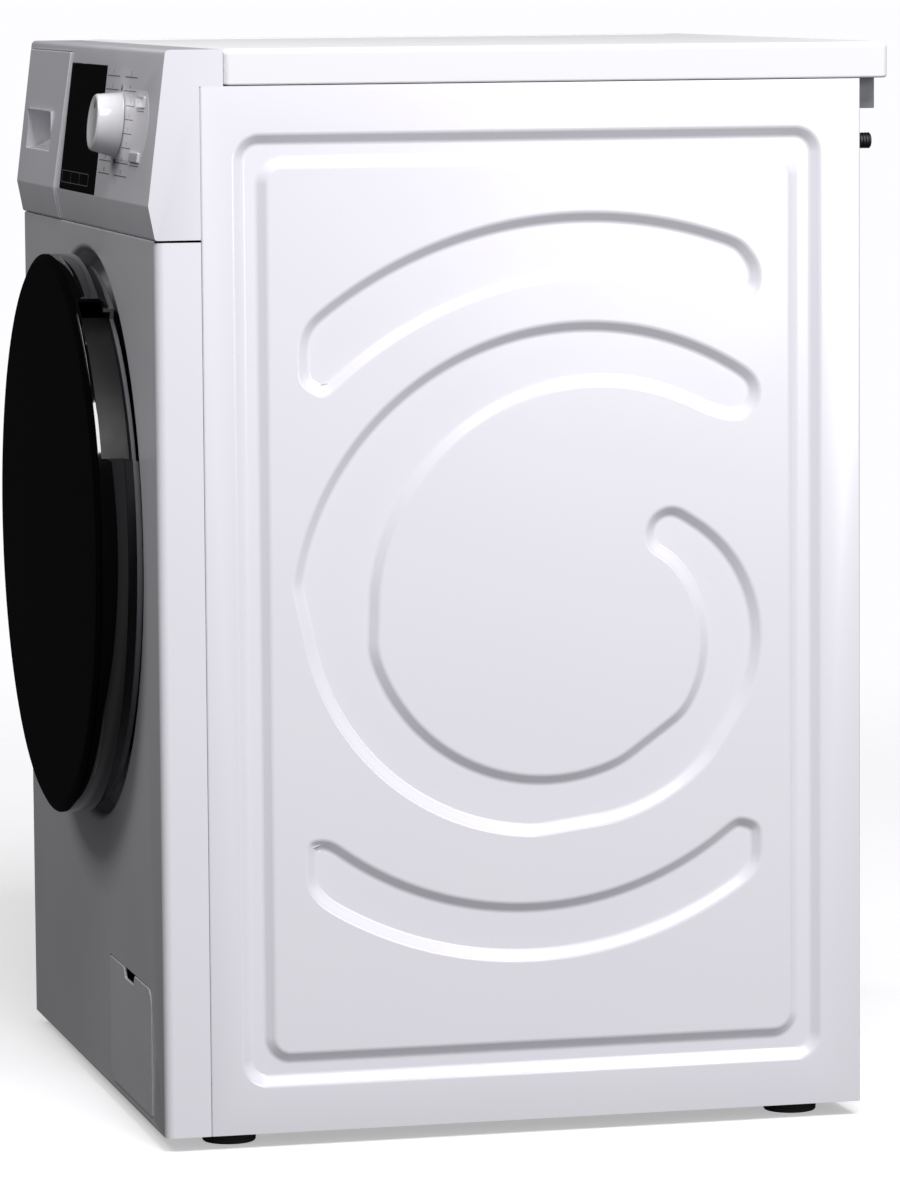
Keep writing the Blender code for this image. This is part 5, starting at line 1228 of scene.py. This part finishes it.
    def number(self, text: str, x: float, y: float, size: float) -> bmesh.types.BMesh:
        """A printed number.

        Args:
            text: its digits.
            x: its middle.
            y: its foot, up the face.
            size: its height.

        Returns:
            A thin raised mesh.
        """
        curve = bpy.data.curves.new("number", "FONT")
        curve.body = text
        curve.size = size
        curve.align_x = "CENTER"
        curve.resolution_u = 2
        curve.extrude = 0.06 * MM
        holder = bpy.data.objects.new("number", curve)
        bpy.context.scene.collection.objects.link(holder)
        graph = bpy.context.evaluated_depsgraph_get()
        mesh = bpy.data.meshes.new_from_object(holder.evaluated_get(graph))
        bpy.data.objects.remove(holder, do_unlink=True)
        bm = bmesh.new()
        bm.from_mesh(mesh)
        bmesh.ops.remove_doubles(bm, verts=bm.verts, dist=1e-7)
        bmesh.ops.translate(bm, vec=(x, y, 0.1 * MM), verts=bm.verts)
        return bm

    def build_knob(self) -> None:
        """The knob: a tapered skirt, a rounded front edge and a dished face with a pointer."""
        base, face, tall = 26 * MM, 22.5 * MM, 21 * MM
        spot = Vector((self.knob[0], self.up(self.knob[1]), 0))
        profile = [(0.0, tall - 1.2 * MM), (face - 8 * MM, tall - 1.1 * MM), (face - 4.6 * MM, tall - 0.3 * MM)]
        profile += [(face - 2.6 * MM + 2.6 * MM * math.sin(a), tall - 2.6 * MM + 2.6 * MM * math.cos(a))
                    for a in (math.radians(t) for t in (0, 15, 30, 45, 60, 75, 88))]
        profile += [(base - 0.5 * MM, 1.6 * MM), (base, 1.0 * MM), (base - 0.3 * MM, 0.6 * MM), (3 * MM, 0.6 * MM),
                    (3 * MM, -12 * MM), (0.0, -12 * MM)]
        knob = spun(profile, spot, 96, "Z")
        place_piece("knob_cap", self.on_face(knob), GLOSS_ABS, Body.KNOB, ["program_knob"], sharp_deg=40)
        pointer = slab(rectangle((spot.x - 0.7 * MM, spot.y + 11 * MM), (spot.x + 0.7 * MM, spot.y + 17.5 * MM), 0.6 * MM, 4),
                       tall - 1.4 * MM, tall - 0.55 * MM, "XY")
        place_piece("knob_pointer", self.on_face(pointer), INK_DARK, Body.KNOB)

    def build_buttons(self) -> None:
        """The two push buttons, with crowned caps."""
        for name, x, drop, width, height in self.buttons():
            y = self.up(drop)
            cap = box((x - width / 2, y - height / 2, -6 * MM), (x + width / 2, y + height / 2, 1.8 * MM))
            body = name.removeprefix("button_") + "_button"
            place_piece(name + "_cap", self.on_face(cap), GLOSS_ABS, body, [name], bevel=0.9 * MM, steps=4)


# ------------------------------------------------------------------ detergent drawer
@dataclass
class Drawer:
    """The drawer's front with its deep finger pocket, and the tray behind it."""

    fascia: Fascia
    thickness: float = 10 * MM
    proud: float = 1.5 * MM
    handle: tuple[float, float, float] = (-262 * MM, -149 * MM, 57 * MM)
    handle_height: float = 33 * MM

    def build(self) -> None:
        """Build the front and the tray."""
        outer = [(y - self.proud, z) for y, z in self.fascia.section(0)]
        front = slab(outer, -HALF, 0.0, "YZ")
        fold_y = deep(-self.fascia.fold_reach)
        behind_section = [(deep(self.thickness), CONSOLE_LOW.z - 40 * MM), (deep(self.thickness), CONSOLE_LOW.z),
                          (fold_y + self.thickness, self.fascia.fold_z),
                          (deep(self.fascia.top_setback + self.thickness), CONSOLE_HIGH.z),
                          (deep(self.fascia.top_setback + self.thickness), TOP + 40 * MM), (deep(90 * MM), TOP + 40 * MM),
                          (deep(90 * MM), CONSOLE_LOW.z - 40 * MM)]
        behind = slab(behind_section, -HALF - 10 * MM, 10 * MM, "YZ")
        shape = slab(self.fascia.drawer_outline(0), deep(-40 * MM), deep(40 * MM))
        front = carve(carve(front, [behind]), [shape], "INTERSECT")
        left, right, drop = self.handle
        top = TOP - drop
        bottom = top - self.handle_height
        wall = 2.5 * MM
        reach = span("drawer_tray")[0].y - deep(1 * MM)
        deep_end = min(30 * MM, reach - wall)
        shell = slab(self.pocket(top + wall, bottom - wall, 4 * MM, deep_end + wall, 4 * MM), left - wall, right + wall, "YZ")
        front = carve(front, [shell], "UNION")
        front = carve(front, [slab(self.pocket(top, bottom, -1 * MM, deep_end, -20 * MM), left, right, "YZ")])
        place_piece("drawer_face", front, FASCIA_ABS, Body.DRAWER, ["drawer_front"], bevel=0.8 * MM, steps=3)
        self.build_liner(top, bottom, deep_end, left, right)
        place_piece("drawer_trough", merged_copy("drawer_tray"), GLOSS_ABS, Body.DRAWER, ["drawer_tray"],
                    bevel=0.6 * MM, steps=2)

    def pocket(self, top: float, bottom: float, start: float, end: float, front: float) -> list[Point2]:
        """The pocket's side view: a flat ceiling and a floor that curves up to the back.

        Args:
            top: height of the ceiling.
            bottom: height of the floor at the mouth.
            start: depth where the floor starts to curve.
            end: depth where it meets the ceiling.
            front: depth where the outline starts.

        Returns:
            The outline as (world Y, Z).
        """
        tall = top - bottom
        curve = [(deep(start + (end - start) * math.sin(a)), top - tall * math.cos(a))
                 for a in (math.radians(90 * index / 16) for index in range(17))]
        lead = [(deep(front), top), (deep(front), bottom)] if front < start else [(deep(start), top)]
        return lead + curve

    def build_liner(self, top: float, bottom: float, depth: float, left: float, right: float) -> None:
        """The white gloss lining of the pocket, with a thin lip round its mouth.

        Args:
            top: height of the ceiling.
            bottom: height of the floor at the mouth.
            depth: how far the ceiling runs in.
            left: its low X.
            right: its high X.
        """
        thin = 0.5 * MM
        skin = slab(self.pocket(top, bottom, -1 * MM, depth, -1 * MM), left, right, "YZ")
        inner = slab(self.pocket(top - thin, bottom + thin, -1 * MM, depth - thin, -20 * MM), left + thin, right - thin, "YZ")
        place_piece("handle_lining", carve(skin, [inner]), GLOSS_ABS, Body.DRAWER)


# ------------------------------------------------------------------ door
@dataclass
class Door:
    """The round door: glass, rim, back ring, bowl, grip, hinge and catch."""

    reach: float = 35 * MM
    glass: float = 3.7 * MM
    gap: float = 0.3 * MM
    chamfer: float = 6 * MM
    step: float = 8 * MM
    wall: float = 3 * MM
    bore: float = 156 * MM
    grip_depth: float = 20 * MM
    grip_span: tuple[float, float] = (20.0, 60.0)
    hinge_half: float = 46 * MM
    steps: int = 192
    centre: Vector = field(default_factory=lambda: Vector((0, FRONT_Y, AXIS_Z)))

    @property
    def face(self) -> float:
        """Depth of the rim's front, just behind the glass."""
        return -self.reach + self.glass + self.gap

    def build(self) -> None:
        """Build every piece of the door."""
        self.build_glass()
        self.build_rim()
        self.build_ring()
        self.build_bowl()
        self.build_grip()
        self.build_hinge()

    def build_glass(self) -> None:
        """The front glass, with a polished chamfer round a very slightly crowned face."""
        r = DOOR_R
        back = self.face - self.gap
        profile = [(0.0, back), (r - 1 * MM, back), (r - 0.3 * MM, back - 0.2 * MM), (r, back - 0.5 * MM),
                   (r - 0.15 * MM, back - 0.9 * MM), (r - 0.6 * MM, back - 1.25 * MM),
                   (r - self.chamfer + 0.8 * MM, -self.reach + 0.32 * MM), (r - self.chamfer + 0.3 * MM, -self.reach + 0.12 * MM),
                   (r - self.chamfer - 0.4 * MM, -self.reach + 0.02 * MM), (r - self.chamfer - 1.4 * MM, -self.reach),
                   (0.0, -self.reach)]
        place_piece("front_glass", spun(profile, self.centre, self.steps), BLACK_GLASS, Body.DOOR, ["door_glass"],
                    sharp_deg=25)

    def notch(self, radius: float, low: float, high: float) -> bmesh.types.BMesh:
        """The cutter of the grip notch.

        Args:
            radius: the notch's inner radius.
            low: depth where it starts.
            high: depth where it ends.

        Returns:
            The cutter.
        """
        first, last = self.grip_span
        outline = arc((0, AXIS_Z), radius, first, last, 24) + arc((0, AXIS_Z), DOOR_R + 20 * MM, last, first, 12)
        return slab(outline, deep(low), deep(high))

    def cutters(self) -> list[bmesh.types.BMesh]:
        """The grip notch and the room for the hinge."""
        hinge_x, slack = -(DOOR_R - 12.5 * MM), self.hinge_half + 4 * MM
        room = box((-DOOR_R - 20 * MM, deep(self.face + self.wall + 0.2 * MM), AXIS_Z - slack),
                   (hinge_x + 14 * MM, deep(30 * MM), AXIS_Z + slack))
        return [self.notch(DOOR_R - self.grip_depth, self.face + self.wall, 20 * MM), room]

    def build_rim(self) -> None:
        """The gloss rim, stepped in towards the cabinet."""
        r, f, w = DOOR_R, self.face, self.wall
        profile = [(r - 0.6 * MM, f), (r - 0.15 * MM, f + 0.15 * MM), (r, f + 0.6 * MM), (r, -self.step - 3 * MM),
                   (r - 0.3 * MM, -self.step - 2.2 * MM), (r - 1.0 * MM, -self.step - 1.6 * MM),
                   (r - self.step + 2.2 * MM, -3 * MM), (r - self.step + 1.4 * MM, -2.3 * MM),
                   (r - self.step + 0.4 * MM, -2 * MM), (r - self.step - 1.5 * MM, -2 * MM),
                   (r - w, -self.step - 3 * MM), (r - w, f + w), (self.bore - 6 * MM, f + w), (self.bore - 6 * MM, f)]
        rim = carve(spun(profile, self.centre, self.steps), self.cutters())
        place_piece("gloss_rim", rim, PIANO_BLACK, Body.DOOR, ["door_rim"], bevel=0.35 * MM, steps=2, sharp_deg=55)

    def build_ring(self) -> None:
        """The grey ring on the back of the door, with its screws."""
        outer = DOOR_R - self.step
        lip = self.bore + 15 * MM
        profile = [(outer - 2 * MM, 2.4 * MM), (outer - 2 * MM, -6 * MM), (outer - 5 * MM, -6 * MM), (outer - 5 * MM, 0),
                   (lip, 0), (lip, -9 * MM), (lip - 2.7 * MM, -9 * MM), (lip - 2.7 * MM, 0), (self.bore, 0),
                   (self.bore, 2 * MM), (self.bore + 1 * MM, 3 * MM), (self.bore + 14 * MM, 3 * MM),
                   (self.bore + 15 * MM, 2.2 * MM), (self.bore + 19 * MM, 2.2 * MM), (self.bore + 20 * MM, 3 * MM),
                   (outer - 2.6 * MM, 3 * MM)]
        slot = box((205 * MM - 9 * MM, deep(-5 * MM), AXIS_Z - 8.5 * MM), (205 * MM + 5 * MM, deep(8 * MM), AXIS_Z + 8.5 * MM))
        ring = carve(spun(profile, self.centre, self.steps), self.cutters() + [slot])
        place_piece("back_ring", ring, GREY_PP, Body.DOOR, ["door_inner_ring"], bevel=0.4 * MM, steps=2, sharp_deg=50)
        screws = []
        for index in range(10):
            turn = math.radians(18 + 36 * index)
            if abs(math.sin(turn)) < 0.35 and math.cos(turn) < 0:
                continue
            spot = self.centre + Vector((190 * MM * math.cos(turn), 0, 190 * MM * math.sin(turn)))
            y = 3 * MM
            screws.append(spun([(0.0, y + 1.0 * MM), (1.2 * MM, y + 1.0 * MM), (1.4 * MM, y + 1.6 * MM),
                                (3 * MM, y + 1.3 * MM), (3.7 * MM, y + 0.6 * MM), (3.8 * MM, y - 0.3 * MM),
                                (0.0, y - 0.3 * MM)], spot, 20))
        place_piece("ring_screws", joined(screws), ZINC_STEEL, Body.DOOR)

    def build_bowl(self) -> None:
        """The pressed glass bowl."""
        low, high = span("door_bowl")
        back = high.y - FRONT_Y
        deepest = back - 2 * MM
        neck = self.bore - 0.6 * MM
        wall = 4 * MM
        shape = [(neck, -self.gap), (neck - 7.5 * MM, 20 * MM), (134 * MM, deepest - 30 * MM),
                 (124 * MM, deepest - 12 * MM), (100 * MM, deepest)]
        outer = self.curve(shape)
        inner = self.curve([(radius - wall, depth - (wall if depth > deepest - 13 * MM else 0)) for radius, depth in shape])
        profile = [(0.0, back)] + [(60 * MM, back - 0.7 * MM)] + outer[::-1]
        profile += [(neck + 12 * MM, -self.gap), (neck + 12 * MM, -self.gap - wall), (neck - wall, -self.gap - wall)]
        profile += inner + [(60 * MM, back - wall - 0.9 * MM), (0.0, back - wall)]
        place_piece("glass_bowl", spun(profile, self.centre, self.steps), CLEAR_GLASS, Body.DOOR, ["door_bowl"],
                    sharp_deg=50)

    def curve(self, points: Sequence[Point2]) -> list[Point2]:
        """Round the corners of an open section."""
        return soften(points, 14 * MM, 8, closed=False)

    def build_grip(self) -> None:
        """The dark plate at the back of the grip notch."""
        outer = DOOR_R - self.grip_depth - self.gap
        first, last = self.grip_span[0] - 1, self.grip_span[1] + 1
        outline = arc((0, AXIS_Z), outer - 3 * MM, first, last, 40) + arc((0, AXIS_Z), outer, last, first, 40)
        plate = slab(outline, deep(self.face + self.wall + self.gap), deep(-2 * MM))
        place_piece("grip_plate", plate, CHARCOAL_ABS, Body.DOOR, ["door_grip"], bevel=0.4 * MM, steps=2, sharp_deg=50)

    def build_hinge(self) -> None:
        """The hinge's bracket, leaf and pin, the catch and the lock."""
        pieces = (("hinge_bracket", "hinge_frame", ZINC_STEEL, Body.CABINET, 0.8 * MM),
                  ("hinge_leaf", "hinge_arm", ZINC_STEEL, Body.DOOR, 0.4 * MM),
                  ("door_hook", "catch_hook", ZINC_STEEL, Body.CATCH, 0.8 * MM),
                  ("door_lock", "lock_case", CHARCOAL_ABS, Body.CABINET, 1 * MM))
        for node, name, finish, body, bevel in pieces:
            place_piece(name, merged_copy(node), finish, body, [node], bevel=bevel, steps=3, sharp_deg=40)
        low, high = span("hinge_pin")
        middle = Vector(((low.x + high.x) / 2, (low.y + high.y) / 2, (low.z + high.z) / 2))
        half = (high.z - low.z) / 2
        r = 3 * MM
        profile = [(0.0, half), (r, half), (r + 1.2 * MM, half - 0.7 * MM), (r + 1.5 * MM, half - 1.3 * MM),
                   (r + 1.5 * MM, half - 2 * MM), (r, half - 2 * MM), (r, -half + 1.0 * MM), (r - 0.8 * MM, -half),
                   (0.0, -half)]
        place_piece("pin_of_hinge", spun(profile, middle, 48, "Z"), ZINC_STEEL, Body.CABINET, ["hinge_pin"])


# ------------------------------------------------------------------ wash group
@dataclass
class WashGroup:
    """The bellows, the drum and the other pieces seen through the open door."""

    bellows_steps: int = 160
    drum_steps: int = 192

    def build(self) -> None:
        """Build the pieces."""
        self.build_bellows()
        self.build_drum()
        self.build_springs()
        self.dress_rest()

    def build_bellows(self) -> None:
        """The rubber bellows between the cabinet and the tub."""
        low, high = span("door_gasket")
        lip = 179.2 * MM
        back = 20.5 * MM
        end = high.y - FRONT_Y
        neck = 167.5 * MM
        inner = 147.5 * MM
        section = [(lip, back + 1.5 * MM), (lip, back + 10.5 * MM), (lip + 8.5 * MM, back + 16 * MM),
                   (lip + 8.5 * MM, end - 20 * MM), (neck + 3.5 * MM, end - 16.5 * MM), (neck + 3.5 * MM, end),
                   (neck + 0.8 * MM, end), (neck + 0.8 * MM, end - 19 * MM), (lip + 5.5 * MM, end - 21.5 * MM),
                   (lip + 5.5 * MM, back + 18 * MM), (lip - 4 * MM, back + 13 * MM), (inner, back + 13 * MM),
                   (inner, back + 10 * MM), (lip - 3 * MM, back + 10 * MM), (lip - 3 * MM, back + 1.5 * MM)]
        bm = spun(soften(section, 2.4 * MM, 5), Vector((0, FRONT_Y, AXIS_Z)), self.bellows_steps)
        item = place_piece("door_bellows", bm, EPDM_GREY, None, ["door_gasket"], sharp_deg=60)
        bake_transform(item)

    def build_drum(self) -> None:
        """The perforated drum with its rolled mouth, and the lifters."""
        low, high = span("drum")
        r = (high.x - low.x) / 2
        front, back = low.y - FRONT_Y, high.y - FRONT_Y
        mouth = 157 * MM
        sheet = 1.2 * MM
        outer = [(mouth + 3 * MM, front), (mouth + 12 * MM, front + 0.4 * MM), (r - 18 * MM, front + 3 * MM),
                 (r - 6 * MM, front + 8 * MM), (r - 0.5 * MM, front + 18 * MM), (r, front + 26 * MM), (r, back - 14 * MM),
                 (r - 2 * MM, back - 6 * MM), (r - 8 * MM, back - 1 * MM), (r - 16 * MM, back), (0.0, back)]
        inner = [(0.0, back - sheet), (r - 16 * MM, back - sheet), (r - 9 * MM, back - 2.4 * MM),
                 (r - 3.2 * MM, back - 7 * MM), (r - sheet, back - 14 * MM), (r - sheet, front + 26 * MM),
                 (r - 1.8 * MM, front + 18 * MM), (r - 7 * MM, front + 9.2 * MM), (r - 18.4 * MM, front + 4.4 * MM),
                 (mouth + 12 * MM, front + 1.8 * MM), (mouth + 4 * MM, front + 1.6 * MM), (mouth + 1.6 * MM, front + 2.6 * MM),
                 (mouth + 1.6 * MM, front + 7 * MM), (mouth, front + 8 * MM), (mouth, front + 2.4 * MM)]
        bm = spun(outer + inner, Vector((0, FRONT_Y, AXIS_Z)), self.drum_steps)
        place_piece("wash_drum", bm, PERFORATED, Body.DRUM, ["drum"], sharp_deg=40)
        for index in (1, 2, 3):
            node = "drum_lifter_" + str(index)
            place_piece("lifter_" + str(index), merged_copy(node), GREY_PP, Body.DRUM, [node], bevel=4 * MM, steps=4,
                        sharp_deg=30)

    def build_springs(self) -> None:
        """The two hanging springs, which stretch between the cabinet and the tub."""
        for side in ("left", "right"):
            node = "suspension_spring_" + side
            bm = merged_copy(node)
            item = place_piece("hanging_spring_" + side, bm, ZINC_STEEL, None, [node])
            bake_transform(item)

    def dress_rest(self) -> None:
        """Give every frame node that still shows its own finish."""
        finish_of = {
            "base_frame": ZINC_STEEL, "top_brace": ZINC_STEEL, "control_board": CIRCUIT, "dispenser_housing": WHITE_ABS,
            "drain_pump": CHARCOAL_ABS, "pump_filter": GREY_PP, "damper_cylinder_left": GREY_PP,
            "damper_cylinder_right": GREY_PP, "damper_rod_left": ZINC_STEEL, "damper_rod_right": ZINC_STEEL,
            "tub_front": GREY_PP, "tub_rear": GREY_PP, "counterweight_front": CONCRETE, "counterweight_top": CONCRETE,
            "motor": CAST_ALUMINIUM, "motor_pulley": ZINC_STEEL, "heater": STAINLESS, "bearing": ZINC_STEEL,
            "drive_belt": BLACK_RUBBER, "drum_spider_shaft": CAST_ALUMINIUM, "drum_pulley": CAST_ALUMINIUM,
        }
        for node, finish in finish_of.items():
            item = frame["nodes"][node]
            item.data.materials.clear()
            item.data.materials.append(finish.make())


@dataclass(frozen=True)
class PerforatedFinish(Finish):
    """Rolled stainless sheet with rows of punched holes round an axis along Y."""

    pitch_mm: float = 9.5
    hole_mm: float = 1.7
    radius_mm: float = 240.0

    def make(self) -> bpy.types.Material:
        """Build the sheet's finish, then sink its holes and paint them near black, a painted shade for the dim inside
        seen through them.

        Returns:
            The material.
        """
        known = bpy.data.materials.get(self.name)
        if known:
            return known
        material = super().make()
        tree = material.node_tree
        shader = tree.nodes["Principled BSDF"]
        place = add_node(tree, "ShaderNodeTexCoord")
        parts = add_node(tree, "ShaderNodeSeparateXYZ", None, {"Vector": place.outputs["Object"]})
        lifted = add_node(tree, "ShaderNodeMath", {"operation": "SUBTRACT"}, {0: parts.outputs["Z"], 1: AXIS_Z})
        angle = add_node(tree, "ShaderNodeMath", {"operation": "ARCTAN2"}, {0: lifted.outputs[0], 1: parts.outputs["X"]})
        count = round(math.pi * self.radius_mm / self.pitch_mm)
        around = add_node(tree, "ShaderNodeMath", {"operation": "MULTIPLY"}, {0: angle.outputs[0], 1: count / math.pi})
        along = add_node(tree, "ShaderNodeMath", {"operation": "MULTIPLY"}, {0: parts.outputs["Y"], 1: 1 / (self.pitch_mm * MM)})
        cell = add_node(tree, "ShaderNodeCombineXYZ", None, {"X": around.outputs[0], "Y": along.outputs[0]})
        dots = add_node(tree, "ShaderNodeTexVoronoi", {"feature": "F1", "voronoi_dimensions": "2D"},
                        {"Vector": cell.outputs[0], "Scale": 1.0, "Randomness": 0.0})
        hole = add_node(tree, "ShaderNodeMapRange", {"interpolation_type": "SMOOTHSTEP"},
                        {"Value": dots.outputs["Distance"], "From Min": self.hole_mm / self.pitch_mm,
                         "From Max": (self.hole_mm + 0.5) / self.pitch_mm, "To Min": 1.0, "To Max": 0.0})
        base = shader.inputs["Base Color"].links[0].from_socket
        # Painted shade: the holes are mixed to near black, standing in for the dim inside seen through them.
        dark = add_node(tree, "ShaderNodeMix", {"data_type": "RGBA"},
                        {"Factor": hole.outputs["Result"], 6: base, 7: srgb("#0B0B0C")})
        tree.links.new(dark.outputs[2], shader.inputs["Base Color"])
        old = shader.inputs["Normal"].links[0].from_node
        sunk = add_node(tree, "ShaderNodeBump", {"invert": True},
                        {"Strength": 0.8, "Distance": 0.6 * MM, "Height": hole.outputs["Result"],
                         "Normal": old.outputs["Normal"]})
        tree.links.new(sunk.outputs["Normal"], shader.inputs["Normal"])
        return material


# Rolled stainless, punched with fine holes in staggered rows, which read as a dark dotted grid; the holes' near black
# is painted shade, standing in for the dim inside seen through them.
PERFORATED = PerforatedFinish("perforated_stainless", "#C9C8C5", "#B9B8B5", 0.22, 0.6, 0.006, Pattern.BRUSHED,
                              metallic=1.0, stretch=(1.0, 0.04, 1.0))


@dataclass
class Feet:
    """The four levelling feet: a ribbed rubber pad and a threaded stud."""

    pad: float = 9 * MM
    stud: float = 5 * MM

    def build(self) -> None:
        """Build the four feet."""
        for node in ("foot_front_left", "foot_front_right", "foot_rear_left", "foot_rear_right"):
            low, high = span(node)
            centre = Vector(((low.x + high.x) / 2, (low.y + high.y) / 2, 0))
            r = (high.x - low.x) / 2
            body = "leg_" + node.removeprefix("foot_")
            top = high.z
            pad = [(0.0, self.pad), (r - 4 * MM, self.pad), (r - 2.2 * MM, self.pad - 0.8 * MM), (r - 0.4 * MM, self.pad - 3 * MM)]
            for index in range(2):
                z = self.pad - 3.6 * MM - index * 2 * MM
                pad += [(r, z), (r, z - 1.0 * MM), (r - 0.7 * MM, z - 1.3 * MM), (r - 0.7 * MM, z - 1.7 * MM)]
            pad += [(r, 1.2 * MM), (r - 0.8 * MM, 0.0), (0.0, 0.0)]
            stud = [(0.0, top), (self.stud - 1 * MM, top)]
            turns = int((top - self.pad) / (1.5 * MM))
            for index in range(turns):
                z = top - 0.4 * MM - index * 1.5 * MM
                if z - 1.2 * MM < self.pad:
                    break
                stud += [(self.stud, z - 0.3 * MM), (self.stud - 0.7 * MM, z - 1.0 * MM)]
            stud += [(self.stud - 0.5 * MM, self.pad - 1 * MM), (0.0, self.pad - 1 * MM)]
            place_piece(node + "_pad", spun(pad, centre, 64, "Z"), BLACK_RUBBER, body, [node])
            place_piece(node + "_stud", spun(stud, centre, 32, "Z"), ZINC_STEEL, body)


# ------------------------------------------------------------------ studio
@dataclass
class Studio:
    """The pale floor, the soft lights and the camera."""

    place: tuple[float, float, float] = (4.7025, -1.1208, 0.9172)
    azimuth: float = 76.286
    elevation: float = 6.106
    roll: float = -0.4306
    lens: float = 180.3
    floor_radius: float = 3.2
    floor_glow: float = 0.42
    ambient: float = 0.12
    mirrored: float = 0.006

    def build(self) -> None:
        """Build the studio."""
        self.build_floor()
        self.build_lights()
        self.build_camera()

    def build_floor(self) -> None:
        """A pale round floor that fades into the pale background."""
        bm = bmesh.new()
        bmesh.ops.create_circle(bm, cap_ends=True, segments=96, radius=self.floor_radius)
        mesh = bpy.data.meshes.new("studio_floor")
        bm.to_mesh(mesh)
        bm.free()
        floor = bpy.data.objects.new("studio_floor", mesh)
        floor.visible_glossy = False
        floor.visible_diffuse = False
        bpy.context.scene.collection.objects.link(floor)
        material = STUDIO_PAPER.make()
        tree = material.node_tree
        place = add_node(tree, "ShaderNodeTexCoord")
        distance = add_node(tree, "ShaderNodeVectorMath", {"operation": "LENGTH"}, {0: place.outputs["Object"]})
        fade = add_node(tree, "ShaderNodeMapRange", {"interpolation_type": "SMOOTHSTEP"},
                        {"Value": distance.outputs["Value"], "From Min": self.floor_radius * 0.2,
                         "From Max": self.floor_radius * 0.9, "To Min": 1.0, "To Max": 0.0})
        shader = tree.nodes["Principled BSDF"]
        shader.inputs["Emission Color"].default_value = (1.0, 1.0, 1.0, 1.0)
        shader.inputs["Emission Strength"].default_value = self.floor_glow
        tree.links.new(fade.outputs["Result"], shader.inputs["Alpha"])
        mesh.materials.append(material)

    def build_lights(self) -> None:
        """A high soft key on the +X side, a low side light, a weak front fill and a pale surround."""
        for name, spot, aim, size, power, colour in (
                ("key_light", (2.9, 0.2, 3.6), (0.3, 0.1, 0.5), (2.6, 1.6), 165.0, (1.0, 0.985, 1.0)),
                ("side_light", (4.4, 1.6, 1.3), (0.3, 0.1, 0.5), (1.2, 2.0), 52.0, (0.97, 0.975, 1.0)),
                ("front_fill", (-0.2, -1.7, 2.4), (0.0, -0.3, 0.7), (1.2, 0.8), 18.0, (1.0, 0.985, 0.975))):
            data = bpy.data.lights.new(name, "AREA")
            data.shape = "RECTANGLE"
            data.size, data.size_y = size
            data.energy = power
            data.color = colour
            lamp = bpy.data.objects.new(name, data)
            lamp.location = spot
            lamp.rotation_euler = (Vector(aim) - Vector(spot)).to_track_quat("-Z", "Y").to_euler()
            bpy.context.scene.collection.objects.link(lamp)
        world = bpy.data.worlds.new("studio")
        bpy.context.scene.world = world
        world.use_nodes = True
        tree = world.node_tree
        sky = tree.nodes["Background"]
        sky.inputs["Color"].default_value = (0.98, 0.98, 1.0, 1.0)
        path = add_node(tree, "ShaderNodeLightPath")
        seen = add_node(tree, "ShaderNodeMath", {"operation": "MULTIPLY_ADD"},
                        {0: path.outputs["Is Camera Ray"], 1: 1.0, 2: self.mirrored})
        spread = add_node(tree, "ShaderNodeMath", {"operation": "MULTIPLY_ADD"},
                          {0: path.outputs["Is Diffuse Ray"], 1: self.ambient, 2: seen.outputs[0]})
        tree.links.new(spread.outputs[0], sky.inputs["Strength"])
        bpy.context.scene.view_settings.view_transform = "Standard"

    def build_camera(self) -> None:
        """The camera, at the angle that the machine is shown from."""
        a, e, roll = (math.radians(value) for value in (self.azimuth, self.elevation, self.roll))
        back = Vector((math.sin(a) * math.cos(e), -math.cos(a) * math.cos(e), math.sin(e)))
        right = Vector((0, 0, 1)).cross(back).normalized()
        up = back.cross(right)
        tilted_right = right * math.cos(roll) + up * math.sin(roll)
        tilted_up = -right * math.sin(roll) + up * math.cos(roll)
        turn = Matrix((tilted_right, tilted_up, back)).transposed().to_4x4()
        data = bpy.data.cameras.new("camera")
        data.lens = self.lens
        data.sensor_width = 36.0
        data.clip_end = 60.0
        camera = bpy.data.objects.new("camera", data)
        camera.matrix_world = Matrix.Translation(Vector(self.place)) @ turn
        bpy.context.scene.collection.objects.link(camera)
        bpy.context.scene.camera = camera


# Seamless background paper: matt and even.
STUDIO_PAPER = Finish("studio_paper", "#F6F6F8", "#F3F3F6", 0.85, 1.5, 0.02, Pattern.MOULDED, shade_amount=0.2)


def main() -> None:
    """Build the machine, then the studio round it."""
    logging.basicConfig(level=logging.INFO, format="%(message)s")
    fascia = Fascia()
    for part in (SidePanels(), FrontSheet(), ServiceFlap(), Worktop(), Rear(), fascia, Drawer(fascia), Door(),
                 WashGroup(), Feet(), Studio()):
        part.build()
        log.info("built %s", type(part).__name__)


if __name__ == "__main__":
    main()
